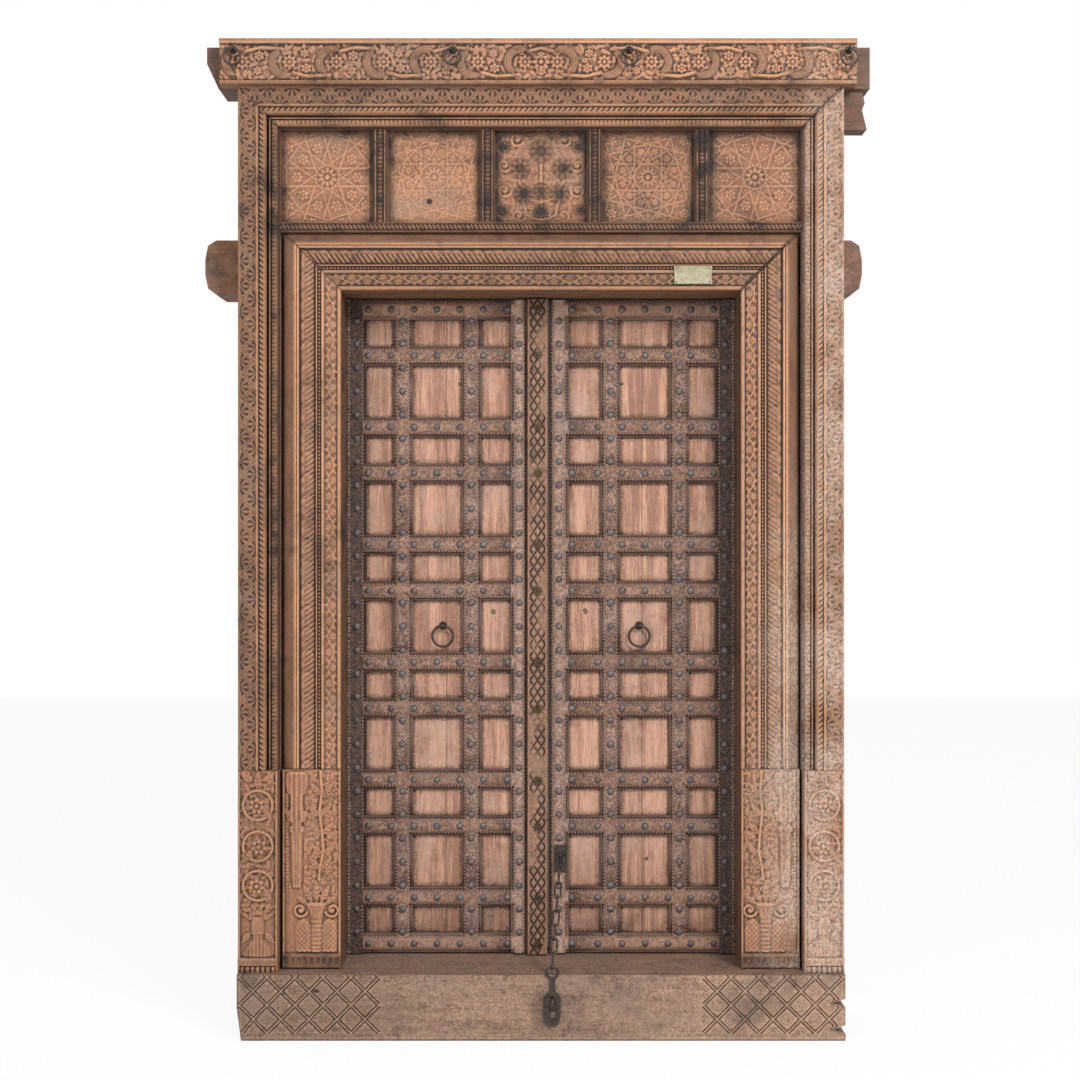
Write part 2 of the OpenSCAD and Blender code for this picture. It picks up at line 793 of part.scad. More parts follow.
// A net of diamonds from x = 0 to l: whole ones in staggered rows, halves along its edges
sill_relief = 4;
lattice_rows = 3;
diagonal_ratio = 1.414;
module sill_lattice(l) {
  cut = sill_line_w * diagonal_ratio;
  step = l / sill_diamonds;
  rise = (sill_h - sill_margin - sill_foot_margin) / (lattice_rows + 1);
  half_w = (step - cut) / 2;
  half_h = rise - cut / 2;
  left = [-half_w, 0];
  right = [half_w, 0];
  foot = [0, -half_h];
  head = [0, half_h];
  translate([0, sill_foot_margin]) {
    for (row = [1:lattice_rows])
      for (i = [1:sill_diamonds - row % 2])
        translate([(i - (1 - row % 2) * mid_share) * step, row * rise]) polygon([left, foot, right, head]);
    for (i = [1:sill_diamonds]) {
      translate([(i - mid_share) * step, 0]) polygon([left, right, head]);
      translate([(i - mid_share) * step, (lattice_rows + 1) * rise]) polygon([left, foot, right]);
    }
    for (row = [1:2:lattice_rows]) {
      translate([0, row * rise]) polygon([foot, right, head]);
      translate([l, row * rise]) polygon([left, foot, head]);
    }
  }
}

// Where the sill's end is split and broken, drawn as seen from the front
split_shares = [0.17, 0.57];
split_deep_share = 0.62;
chip_h_share = 0.5;
module sill_breaks() {
  for (share = split_shares)
    translate([sill_l / 2, sill_h * share])
      polygon([[over, -sill_split_h / 2], [over, sill_split_h / 2], [-sill_split_l, 0]]);
  translate([-sill_l / 2, 0])
    polygon([[-over, -over], [sill_chip, -over], [-over, sill_h * chip_h_share]]);
}

module sill() {
  color(wood_color)
    difference() {
      union() {
        span([-sill_l / 2, -sill_front, 0], [sill_l / 2, sill_back, sill_h]);
        relief(-sill_front, sill_relief)
          translate([-sill_l / 2 + sill_margin, 0]) sill_lattice(sill_lattice_l);
        relief(-sill_front, sill_relief)
          translate([sill_l / 2 - sill_margin - sill_lattice_l, 0]) sill_lattice(sill_lattice_l);
      }
      for (side = [-1, 1])
        on_side(side) {
          outer_tenon(tenon_clear);
          inner_tenon(tenon_clear);
          translate([pivot_x, 0, z_sill - pivot_bottom_l])
            cylinder(r = pivot_r + pivot_clear, h = pivot_bottom_l + over);
        }
      translate([0, -sill_front + (sill_front + sill_back) * split_deep_share, 0])
        rotate([90, 0, 0])
          linear_extrude((sill_front + sill_back) * split_deep_share + sill_relief + over)
            sill_breaks();
    }
}

// An outer post, drawn on the right
module outer_post() {
  face = -outer_front;
  rear = face + outer_mitre_t;
  post_mitre(outer_low, outer_high, outer_front, outer_mitre_t) outer_moulding_up();
  span([outer_in, rear, z_sill], [outer_half, -outer_back, z_outer]);
  span([outer_in, face, z_sill], [outer_half, rear, z_base]);
  relief(face, base_relief) outer_base_carving();
  outer_tenon(0);
}

module outer_post_left() {
  color(wood_color) on_side(-1) outer_post();
}

module outer_post_right() {
  color(wood_color) on_side(1) outer_post();
}

module outer_lintel() {
  rear = -outer_front + outer_mitre_t;
  color(wood_color) {
    lintel_mitre(outer_low, outer_high, outer_front, outer_mitre_t) outer_moulding_across();
    difference() {
      span([-outer_half, rear, z_outer], [outer_half + outer_horn, -outer_back, z_head]);
      // the worn end of the horn
      translate([outer_half + outer_horn, -outer_back + over, z_head])
        rotate([90, 0, 0])
          linear_extrude(outer_front)
            polygon([[over, over], [-worn, over], [-worn / 2, -outer_w / 3], [-worn, -outer_w / 2],
              [over, -outer_w]]);
    }
  }
}

// An inner post, drawn on the right
module inner_post() {
  face = -inner_front;
  rear = face + inner_mitre_t;
  post_mitre(inner_low, inner_high, inner_front, inner_mitre_t) inner_moulding_up();
  span([opening_half, rear, z_sill], [inner_half, -inner_back, z_soffit]);
  span([opening_half, face, z_sill], [inner_half, rear, z_base]);
  relief(face, base_relief) inner_base_carving();
  inner_tenon(0);
}

module inner_post_left() {
  color(wood_color) on_side(-1) inner_post();
}

module inner_post_right() {
  color(wood_color) on_side(1) inner_post();
}

// A horn of the inner lintel on the right, with a worn end
module lintel_horn(l) {
  top = z_inner - horn_drop;
  difference() {
    span([inner_half - over, -outer_back, z_soffit], [outer_half + l, lintel_back, top]);
    translate([outer_half + l, lintel_back + over, top])
      rotate([90, 0, 0])
        linear_extrude(outer_back + lintel_back + 2 * over)
          polygon([[over, over], [-2 * worn, over], [-worn / 2, -worn], [0, -inner_w / 3],
            [over, -inner_w / 3]]);
    translate([outer_half + l, lintel_back + over, z_soffit])
      rotate([90, 0, 0])
        linear_extrude(outer_back + lintel_back + 2 * over)
          polygon([[over, -over], [-2 * worn, -over], [-worn / 2, worn], [0, inner_w / 3],
            [over, inner_w / 3]]);
  }
}

module inner_lintel() {
  rear = -inner_front + inner_mitre_t;
  color(wood_color)
    difference() {
      union() {
        lintel_mitre(inner_low, inner_high, inner_front, inner_mitre_t) inner_moulding_across();
        span([-inner_half, rear, z_soffit], [inner_half, lintel_back, z_inner]);
        on_side(-1) lintel_horn(horn_left);
        on_side(1) lintel_horn(horn_right);
      }
      for (side = [-1, 1])
        translate([side * pivot_x, 0, z_soffit - over])
          cylinder(r = pivot_r + pivot_clear, h = pivot_top_l + over);
    }
}

// Frieze

// A board with tongues at its sides and straps or flowers raised on it
module frieze_panel(i) {
  half = panel_w / 2;
  translate([panel_x(i), 0, 0]) {
    span([-half, -panel_front, z_frieze], [half, -panel_front + panel_t, z_outer]);
    inner_x = half + tongue_d;
    mid = -panel_front + panel_t / 2;
    span([i == 0 ? -half : -inner_x, mid - tongue_t / 2, z_frieze],
      [i == panel_count - 1 ? half : inner_x, mid + tongue_t / 2, z_outer]);
    relief(-panel_front, panel_relief)
      translate([0, (z_frieze + z_outer) / 2]) children();
  }
}

star_share = 0.47;
star_waist_share = 0.56;
core_share = 0.2;
core_waist_share = 0.5;
cell_share = 0.33;
bloom_share = 0.065;
bloom_petals = 6;

// A star strap with an inner star and a flower in every cell
module star_field() {
  r = panel_w * star_share;
  intersection() {
    square([panel_w, panel_h], center = true);
    union() {
      difference() {
        star(star_points, r, star_waist_share);
        star(star_points, r - 2 * strap_w, star_waist_share);
      }
      star(star_points, panel_w * core_share, core_waist_share);
      for (i = [0:star_points - 1])
        rotate([0, 0, i * 360 / star_points]) {
          translate([0, panel_w * cell_share]) flower(bloom_petals, panel_w * bloom_share);
          rotate([0, 0, 180 / star_points])
            translate([-strap_w / 2, panel_w * core_share])
              square([strap_w, panel_w * (star_share * star_waist_share - core_share) + strap_w]);
        }
    }
  }
}

ray_in_share = 0.08;
ray_l_share = 0.17;
ray_w_share = 0.1;
ring_share = 0.3;
rim_share = 0.45;
rim_bloom_share = 0.37;
rim_bloom_r_share = 0.05;

// A rosette of pointed petals inside a ring of small stars
module rosette_field() {
  circle(panel_w * ray_in_share, $fn = small_fn);
  for (i = [0:rosette_petals - 1])
    rotate([0, 0, i * 360 / rosette_petals]) {
      translate([0, panel_w * ray_in_share * petal_belly_share])
        petal(panel_w * ray_l_share, panel_w * ray_w_share);
      translate([0, panel_w * rim_bloom_share]) flower(bloom_petals, panel_w * rim_bloom_r_share);
    }
  hoop(panel_w * ring_share, strap_w);
  hoop(panel_w * rim_share, strap_w);
}

scroll_r_share = 0.182;
scroll_from = 190;
scroll_to = -70;
scroll_x_share = 0.22;
scroll_z_share = 0.22;
bouquet_r_share = 0.09;

// A stem with flowers, and scrolls to both sides
module bouquet_field() {
  translate([-strap_w / 2, -panel_h / 2 + strap_w]) square([strap_w, panel_h - 2 * strap_w]);
  for (side = [0, 1])
    for (up = [0, 1])
      mirror([side, 0])
        mirror([0, up])
          translate([panel_w * scroll_x_share, panel_h * scroll_z_share]) {
            crescent(panel_w * scroll_r_share, 2 * strap_w, scroll_from, scroll_to);
            flower(roundel_petals, panel_w * bouquet_r_share);
          }
  for (k = [-1, 0, 1])
    translate([0, k * panel_h / 3]) flower(roundel_petals, panel_w * bouquet_r_share);
}

module frieze_panel_1() {
  color(wood_color) frieze_panel(0) star_field();
}

module frieze_panel_2() {
  color(wood_color) frieze_panel(1) rosette_field();
}

module frieze_panel_3() {
  color(wood_color) frieze_panel(2) bouquet_field();
}

module frieze_panel_4() {
  color(wood_color) frieze_panel(3) rosette_field();
}

module frieze_panel_5() {
  color(wood_color) frieze_panel(4) star_field();
}

// A mullion with a bead row on its face and a groove for a tongue in each side
mullion_bead_share = 0.4;
mullion_fillet_sink = 8;
module frieze_mullion(i) {
  x = panel_x(i) + panel_w / 2 + mullion_w / 2;
  half = mullion_w / 2;
  bead_w = mullion_w * mullion_bead_share;
  mid = -panel_front + panel_t / 2;
  translate([x, 0, 0]) {
    difference() {
      span([-half, -mullion_front + mullion_fillet_sink, z_frieze], [half, -mullion_back, z_outer]);
      for (side = [-1, 1])
        on_side(side)
          span([half - tongue_d - tenon_clear, mid - tongue_t / 2 - tenon_clear / 2, z_frieze - over],
            [half + over, mid + tongue_t / 2 + tenon_clear / 2, z_outer + over]);
    }
    translate([-bead_w / 2, -mullion_front + mullion_fillet_sink, z_frieze])
      upright_beads(bead_w, panel_h, outer_bead_pitch, mullion_fillet_sink, bed);
  }
}

module frieze_mullion_1() {
  color(wood_color) frieze_mullion(0);
}

module frieze_mullion_2() {
  color(wood_color) frieze_mullion(1);
}

module frieze_mullion_3() {
  color(wood_color) frieze_mullion(2);
}

module frieze_mullion_4() {
  color(wood_color) frieze_mullion(3);
}

module frieze_rail() {
  bead_h = frieze_rail_h * (1 - mullion_bead_share / 2);
  color(wood_color) {
    span([-outer_in, -mullion_front + mullion_fillet_sink, z_inner], [outer_in, -mullion_back, z_frieze]);
    translate([-outer_in, -mullion_front + mullion_fillet_sink, z_frieze - (frieze_rail_h - bead_h) / 2])
      level_beads(bead_h, 2 * outer_in, outer_bead_pitch, mullion_fillet_sink, bed);
  }
}

// Top

fascia_scrolls = 6;
scroll_bar = 13;
fascia_bloom_share = 0.19;
fascia_bud_share = 0.16;
fascia_bud_x_share = 1.3;
fascia_bud_lean = 40;
curl_from = 250;
curl_to = 60;
fascia_lip = 9;
vine_rise_share = 0.16;
fascia_mid = z_head + (fascia_h - fascia_fillet) / 2 + fascia_lip / 2;

// Half of the fascia's carving, to the right of the centre: scrolls that turn up and down in turn
module fascia_scroll() {
  field = fascia_h - fascia_fillet - 2 * fascia_lip;
  r = field / 2;
  for (i = [0:fascia_scrolls - 1]) {
    x = (i + mid_share / 2) * scroll_pitch + r / 2;
    turn = i % 2 == 0 ? 0 : 1;
    translate([x, fascia_mid])
      mirror([0, turn]) {
        crescent(r, scroll_bar, curl_from, curl_to);
        translate([r / 3, 0]) flower(roundel_petals, field * fascia_bloom_share);
        translate([r * fascia_bud_x_share, r / 3])
          rotate([0, 0, fascia_bud_lean]) flower(vine_petals, field * fascia_bud_share);
      }
  }
  translate([0, fascia_mid])
    rotate([0, 0, -90])
      wave((fascia_scrolls + mid_share / 2) * scroll_pitch, field * vine_rise_share,
        2 * scroll_pitch, stem_w);
}

module top_fascia() {
  face = -fascia_front;
  color(wood_color) {
    span([-fascia_left, face, z_head], [fascia_right, -fascia_back, z_top]);
    relief(face, fascia_relief) {
      translate([-fascia_left, z_top - fascia_fillet]) square([fascia_left + fascia_right, fascia_fillet]);
      translate([-fascia_left, z_head]) square([fascia_left + fascia_right, fascia_lip]);
    }
    relief(face, fascia_relief) fascia_scroll();
    relief(face, fascia_relief) mirror([1, 0]) fascia_scroll();
    relief(face, fascia_relief) {
      translate([0, fascia_mid]) flower(roundel_petals, fascia_h / 4);
      // flat seats for the ring staples
      for (x = top_ring_xs)
        translate([x, top_eye_z]) circle(rose_r + over);
    }
  }
}

rake_share = 0.6;
module top_beam() {
  color(wood_color)
    difference() {
      span([-top_beam_left, -fascia_back, z_head], [top_beam_right, -top_beam_back, z_head + top_beam_h]);
      // the raked left end
      translate([-top_beam_left, -top_beam_back + over, z_head])
        rotate([90, 0, 0])
          linear_extrude(top_beam_d + 2 * over)
            polygon([[-over, -over], [top_beam_rake, -over], [0, top_beam_h * rake_share],
              [-over, top_beam_h * rake_share]]);
    }
}

// Rings and eyes

// A closed ring of bar radius b about the Y axis
module ring(r, b) {
  rotate([90, 0, 0]) rotate_extrude() translate([r, 0]) circle(b);
}

// An eye about the X axis at the origin for a bar of radius b
// It stands on a shank and a rose at the distance eye_stand
module eye(b) {
  r = b + eye_play + eye_bar_r;
  rotate([0, 90, 0]) rotate_extrude() translate([r, 0]) circle(eye_bar_r);
  translate([0, r, 0])
    rotate([-90, 0, 0]) cylinder(r = eye_bar_r, h = eye_stand - r);
  translate([0, eye_stand - rose_t, 0])
    rotate([-90, 0, 0]) cylinder(r1 = rose_r - rose_t, r2 = rose_r, h = rose_t);
}

top_eye_z = z_top - top_ring_drop;
top_eye_y = -fascia_front - fascia_relief - eye_stand;
top_ring_xs = [-end_ring_x, -mid_ring_x, mid_ring_x, end_ring_x];

module top_staples() {
  color(iron_color)
    for (x = top_ring_xs)
      translate([x, top_eye_y, top_eye_z]) eye(top_ring_bar_r);
}

module top_ring(i) {
  color(iron_color)
    translate([top_ring_xs[i], top_eye_y, top_eye_z - top_ring_r]) ring(top_ring_r, top_ring_bar_r);
}

module top_ring_1() {
  top_ring(0);
}

module top_ring_2() {
  top_ring(1);
}

module top_ring_3() {
  top_ring(2);
}

module top_ring_4() {
  top_ring(3);
}

// Leaves

lap = batten_t / 2;

// Section of a batten of width w, lying on the X axis with its face towards -Y
module batten_section(w) {
  half = w / 2;
  flat = half - (batten_w - batten_flat) / 2;
  b = batten_bead;
  e = batten_edge;
  polygon([[-half, 0], [-half, -e + b / 2], [-half + b / 2, -e], [-half + b, -e + b / 2],
    [-flat, -batten_t], [flat, -batten_t], [half - b, -e + b / 2], [half - b / 2, -e],
    [half, -e + b / 2], [half, 0]]);
}

// An upright at x, the full height of a leaf
module upright(x, w) {
  translate([x, -plank_front, leaf_z]) linear_extrude(leaf_h) batten_section(w);
}

// A rail at height z from x0 to x1
module rail(x0, x1, z) {
  translate([x0, -plank_front, z])
    rotate([0, 90, 0]) linear_extrude(x1 - x0) batten_section(batten_w);
}

// A rail that is halved over the two muntins
module lapped_rail(u, ends, i) {
  z = rail_z(i);
  difference() {
    rail(ends[0], ends[1], z);
    for (k = [1, 2])
      span([u[k] - batten_w / 2, -plank_front - lap, z - batten_w / 2 - over],
        [u[k] + batten_w / 2, -plank_front + over, z + batten_w / 2 + over]);
  }
}

// A muntin that is halved under every rail
module lapped_muntin(x) {
  difference() {
    upright(x, batten_w);
    for (i = [0:rail_count - 1])
      span([x - batten_w / 2 - over, -batten_front - over, rail_z(i) - batten_w / 2],
        [x + batten_w / 2 + over, -plank_front - lap, rail_z(i) + batten_w / 2]);
  }
}

// The right hanging stile, as thick as planks and battens together, with a turned pivot at each end
module hanging_stile() {
  x = (hanging_in + leaf_out) / 2;
  upright(x, hanging_w);
  span([hanging_in, -plank_front - bed, leaf_z], [leaf_out, plank_front, leaf_top]);
  translate([pivot_x, 0, z_sill - pivot_bottom_l])
    cylinder(r = pivot_r, h = pivot_bottom_l + leaf_bottom_gap + bed);
  translate([pivot_x, 0, leaf_top - bed]) cylinder(r = pivot_r, h = bed + pivot_top_l);
}

// A plank between two places
module plank(x0, x1) {
  color(plank_color)
    span([min(x0, x1), -plank_front, leaf_z], [max(x0, x1), plank_front, leaf_top]);
}

left_seam = -hanging_in + (left_edge + hanging_in) * plank_seam_share;
right_seam = hanging_in + (right_edge - hanging_in) * plank_seam_share;

// A domed boss on the face of a batten
boss_sphere_r = (boss_r * boss_r + boss_h * boss_h) / (2 * boss_h);
module boss(x, z) {
  covered = abs(x - chain_x) < chain_plate_w / 2 + boss_r
    && abs(z - chain_plate_z) < chain_plate_h / 2 + boss_r;
  if (!covered)
    translate([x, -batten_front, z])
      rotate([90, 0, 0])
        intersection() {
          translate([0, 0, boss_h - boss_sphere_r]) sphere(boss_sphere_r);
          cylinder(r = boss_r + over, h = boss_h + over);
        }
}

// Bosses of a leaf: two or three in each bay of the rails and of the uprights
bay_bosses = [2, 3, 2];
module bosses(u) {
  for (i = [0:rail_count - 1])
    for (c = [0:len(bay_bosses) - 1]) {
      n = bay_bosses[c];
      step = (u[c + 1] - u[c]) / n;
      for (j = [0:n - 1])
        boss(u[c] + (j + mid_share) * step, rail_z(i));
    }
  for (x = u)
    for (r = [0:rail_count - 2]) {
      n = r % 2 == 0 ? 2 : 3;
      step = (rail_z(r + 1) - rail_z(r)) / n;
      for (j = [0:n - 1])
        boss(x, rail_z(r) + (j + mid_share) * step);
    }
}

module left_outer_plank() {
  plank(-hanging_in, left_seam);
}

module left_inner_plank() {
  plank(left_seam, left_edge);
}

module left_hanging_stile() {
  color(batten_color) on_side(-1) hanging_stile();
}

module left_meeting_stile() {
  color(batten_color) upright(left_uprights[3], left_meeting_w);
}

module left_outer_muntin() {
  color(batten_color) lapped_muntin(left_uprights[1]);
}

module left_inner_muntin() {
  color(batten_color) lapped_muntin(left_uprights[2]);
}

module left_top_rail() {
  color(batten_color) lapped_rail(left_uprights, left_rail_ends, rail_count - 1);
}

module left_bottom_rail() {
  color(batten_color) lapped_rail(left_uprights, left_rail_ends, 0);
}

module left_rails() {
  color(batten_color)
    for (i = [1:rail_count - 2]) lapped_rail(left_uprights, left_rail_ends, i);
}

module left_bosses() {
  color(iron_color) bosses(left_uprights);
}

module right_outer_plank() {
  plank(hanging_in, right_seam);
}

module right_inner_plank() {
  plank(right_seam, right_edge);
}

module right_hanging_stile() {
  color(batten_color) on_side(1) hanging_stile();
}

module right_meeting_stile() {
  color(batten_color) upright(right_uprights[3], right_meeting_w);
}

module right_outer_muntin() {
  color(batten_color) lapped_muntin(right_uprights[1]);
}

module right_inner_muntin() {
  color(batten_color) lapped_muntin(right_uprights[2]);
}

module right_top_rail() {
  color(batten_color) lapped_rail(right_uprights, right_rail_ends, rail_count - 1);
}

module right_bottom_rail() {
  color(batten_color) lapped_rail(right_uprights, right_rail_ends, 0);
}

module right_rails() {
  color(batten_color)
    for (i = [1:rail_count - 2]) lapped_rail(right_uprights, right_rail_ends, i);
}

module right_bosses() {
  color(iron_color) bosses(right_uprights);
}

// Pull rings

pull_y = -plank_front - eye_stand;

module left_pull_staple() {
  color(iron_color) translate([-pull_x, pull_y, pull_z]) eye(pull_bar_r);
}

module left_pull_ring() {
  color(iron_color) translate([-pull_x, pull_y, pull_z - pull_r]) ring(pull_r, pull_bar_r);
}

module right_pull_staple() {
  color(iron_color) translate([pull_x, pull_y, pull_z]) eye(pull_bar_r);
}

module right_pull_ring() {
  color(iron_color) translate([pull_x, pull_y, pull_z - pull_r]) ring(pull_r, pull_bar_r);
}

// Cover strip and its ornaments

strip_mid = left_edge - strip_w / 2;
strip_rise = strip_sink;
net_half = strip_w / 2 - strip_fillet - bed;
meeting_bevel = 3;
net_pitch = 44;
net_line = 3;

module left_cover_strip() {
  half = strip_w / 2;
  n = round(leaf_h / net_pitch);
  step = leaf_h / n;
  color(batten_color) {
    translate([strip_mid, -plank_front, leaf_z])
      linear_extrude(leaf_h)
        polygon([[-half, 0], [-half, -strip_t], [-half + strip_fillet, -strip_t],
          [-half + strip_fillet, -strip_t + strip_sink], [half - strip_fillet, -strip_t + strip_sink],
          [half - strip_fillet, -strip_t], [half - meeting_bevel, -strip_t], [half, 0]]);
    for (i = [0:n - 1])
      relief(-strip_front + strip_sink, strip_rise)
        translate([strip_mid, leaf_z + (i + mid_share) * step])
          polygon([[-net_half, 0], [0, -step / 2 + net_line], [net_half, 0], [0, step / 2 - net_line]]);
  }
}

star_waist = 0.55;
star_knob_share = 0.42;
star_tip_share = 0.2;
module left_stars() {
  color(star_color)
    for (i = [0:rail_count - 1])
      translate([strip_mid, -strip_front, rail_z(i)])
        rotate([90, 0, 0]) {
          linear_extrude(star_t) star(star_rays, star_r, star_waist);
          translate([0, 0, star_t - bed])
            cylinder(r1 = star_r * star_knob_share, r2 = star_r * star_tip_share, h = star_t);
        }
}

// Chain and hasp

module chain_plate() {
  color(iron_color) {
    span([chain_x - chain_plate_w / 2, -batten_front - chain_plate_t, chain_plate_z - chain_plate_h / 2],
      [chain_x + chain_plate_w / 2, -batten_front, chain_plate_z + chain_plate_h / 2]);
    translate(chain_eye) eye(link_bar_r);
  }
}

// A link along Z about the origin, flat in X and Z
module link() {
  end_r = link_in_w / 2 + link_bar_r;
  leg = link_in_l / 2 + link_bar_r - end_r;
  for (up = [0, 1])
    mirror([0, 0, up])
      translate([0, 0, leg])
        rotate([90, 0, 0]) rotate_extrude(angle = 180) translate([end_r, 0]) circle(link_bar_r);
  for (side = [-1, 1])
    translate([side * end_r, 0, -leg]) cylinder(r = link_bar_r, h = 2 * leg);
}

module chain_links() {
  color(iron_color)
    translate(chain_eye)
      rotate([chain_lean, chain_yaw, 0])
        for (i = [0:link_count - 1])
          translate([0, 0, -link_in_l / 2 - link_bar_r - i * link_pitch])
            rotate([0, 0, i % 2 * 90]) link();
}

hasp_shoulder_share = 0.3;
hasp_tip_share = 0.6;
module hasp() {
  half = hasp_w / 2;
  shoulder = hasp_h * hasp_shoulder_share;
  low_z = hasp_top - hasp_h;
  color(iron_color) {
    translate([hasp_x, hasp_eye[1], hasp_z - hasp_eye_r]) ring(hasp_eye_r, hasp_bar_r);
    translate([0, hasp_eye[1] + hasp_t / 2, 0])
      rotate([90, 0, 0])
        linear_extrude(hasp_t)
          difference() {
            translate([hasp_x, 0])
              polygon([[-shank_w / 2, hasp_top + shank_l], [-shank_w / 2, hasp_top],
                [-half, hasp_top - shoulder / 2], [-half, low_z + shoulder],
                [-half * hasp_tip_share, low_z], [half * hasp_tip_share, low_z], [half, low_z + shoulder],
                [half, hasp_top - shoulder / 2], [shank_w / 2, hasp_top], [shank_w / 2, hasp_top + shank_l]]);
            translate([hasp_x - slot_w / 2, slot_z]) square([slot_w, slot_l]);
          }
  }
}

module sill_staple() {
  color(iron_color)
    translate([hasp_x, -sill_front, staple_z])
      rotate([90, 0, 90])
        rotate([0, 0, 90])
          rotate_extrude(angle = 180) translate([staple_r, 0]) circle(staple_bar_r);
}

// Choice of the piece

sill();
sill_staple();
outer_post_left();
outer_post_right();
outer_lintel();
inner_post_left();
inner_post_right();
inner_lintel();
frieze_panel_1();
frieze_panel_2();
frieze_panel_3();
frieze_panel_4();
frieze_panel_5();
frieze_mullion_1();
frieze_mullion_2();
frieze_mullion_3();
frieze_mullion_4();
frieze_rail();
top_fascia();
top_beam();
top_staples();
top_ring_1();
top_ring_2();
top_ring_3();
top_ring_4();
left_outer_plank();
left_inner_plank();
left_hanging_stile();
left_meeting_stile();
left_outer_muntin();
left_inner_muntin();
left_top_rail();
left_bottom_rail();
left_rails();
left_bosses();
left_pull_staple();
left_pull_ring();
left_cover_strip();
left_stars();
right_outer_plank();
right_inner_plank();
right_hanging_stile();
right_meeting_stile();
right_outer_muntin();
right_inner_muntin();
right_top_rail();
right_bottom_rail();
right_rails();
right_bosses();
right_pull_staple();
right_pull_ring();
chain_plate();
chain_links();
hasp();
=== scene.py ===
# %% [markdown]
# # A carved temple door
# The frame gives every timber its size and place. This script carves the timbers,
# lays on grain, grime and wear with some painted light and shade, and lights the door as a studio would.
# Lengths in the carving are millimetres, and they become metres where a mesh is made.

import json
import math

import bpy
import numpy as np
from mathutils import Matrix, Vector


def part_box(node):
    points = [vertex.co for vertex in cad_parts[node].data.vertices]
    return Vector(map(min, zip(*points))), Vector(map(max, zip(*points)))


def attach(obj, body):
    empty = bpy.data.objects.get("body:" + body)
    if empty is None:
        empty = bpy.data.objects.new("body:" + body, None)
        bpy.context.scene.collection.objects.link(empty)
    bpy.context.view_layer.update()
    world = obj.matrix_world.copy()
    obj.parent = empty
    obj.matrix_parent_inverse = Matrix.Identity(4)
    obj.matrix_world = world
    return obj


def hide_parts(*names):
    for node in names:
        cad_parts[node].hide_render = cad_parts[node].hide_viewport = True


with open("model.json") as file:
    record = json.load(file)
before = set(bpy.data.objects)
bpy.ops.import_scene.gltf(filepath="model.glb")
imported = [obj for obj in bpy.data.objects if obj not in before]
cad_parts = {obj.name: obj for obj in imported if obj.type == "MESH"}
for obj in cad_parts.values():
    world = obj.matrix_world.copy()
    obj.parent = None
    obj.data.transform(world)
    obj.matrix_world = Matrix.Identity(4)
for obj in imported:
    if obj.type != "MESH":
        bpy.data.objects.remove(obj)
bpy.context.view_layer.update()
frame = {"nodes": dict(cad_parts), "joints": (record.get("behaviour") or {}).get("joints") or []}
MM = 0.001
rng = np.random.default_rng(7)
print("nodes in the frame:", len(frame["nodes"]))

# %% [markdown]
# ## Shader maths
# A socket that knows its node tree can be added and multiplied like a number.
# Every other node is made by one call that names its type, settings and socket values.


# %% Sockets with operators
class Sock:
    """An output socket with arithmetic."""

    def __init__(self, tree, out):
        self.tree, self.out = tree, out

    def math(self, operation, *values):
        return node(self.tree, "ShaderNodeMath", {"operation": operation}, dict(enumerate(values)))

    def __add__(self, other):
        return self.math("ADD", self, other)

    def __sub__(self, other):
        return self.math("SUBTRACT", self, other)

    def __mul__(self, other):
        return self.math("MULTIPLY", self, other)

    def __rsub__(self, other):
        return self.math("SUBTRACT", other, self)

    __radd__ = __add__

    def clamp(self):
        return node(self.tree, "ShaderNodeClamp", {}, {"Value": self})

    def step(self, low, high):
        """0 below low, 1 above high, smooth between them."""
        return node(
            self.tree, "ShaderNodeMapRange", {"interpolation_type": "SMOOTHSTEP"},
            {"Value": self, "From Min": low, "From Max": high},
        )


def node(tree, kind, settings, sockets, output=0):
    """Makes a node, sets it, fills or links its inputs, and gives one of its outputs."""
    made = tree.nodes.new(kind)
    for key, value in settings.items():
        setattr(made, key, value)
    for key, value in sockets.items():
        if isinstance(value, Sock):
            tree.links.new(value.out, made.inputs[key])
        else:
            made.inputs[key].default_value = value
    return Sock(tree, made.outputs[output])


def mix(low, high, factor):
    """Blends two colours."""
    tree = factor.tree
    return node(tree, "ShaderNodeMix", {"data_type": "RGBA"}, {0: factor, 6: low, 7: high}, 2)


def new_material(name):
    """A material with its node tree and its surface shader."""
    material = bpy.data.materials.new(name)
    material.use_nodes = True
    return material, material.node_tree, material.node_tree.nodes["Principled BSDF"]


def rgba(red, green, blue):
    """A colour from its screen values 0 to 255."""
    shares = [c / 255 for c in (red, green, blue)]
    return (*(((c + 0.055) / 1.055) ** 2.4 if c > 0.04 else c / 12.92 for c in shares), 1.0)


# %% [markdown]
# ## Rows and columns
# A joiner sets out a leaf with one rod that carries the places of all its rails and uprights. The same
# places serve here for the battens, the nails, and the painted shade and grime along the battens.

# %% Rows and columns of the leaves
BATTEN_W = 52.0
SHORT_ROWS, TALL_ROWS = 6, 5
RAILS = SHORT_ROWS + TALL_ROWS + 1
SHORT_SHARE = 0.0728


def box_mm(name):
    """Lowest and highest corner of a node, in millimetres."""
    low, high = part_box(name)
    return np.array(low) / MM, np.array(high) / MM


def middle_x(name):
    """Middle of a node across the door."""
    low, high = box_mm(name)
    return (low[0] + high[0]) / 2


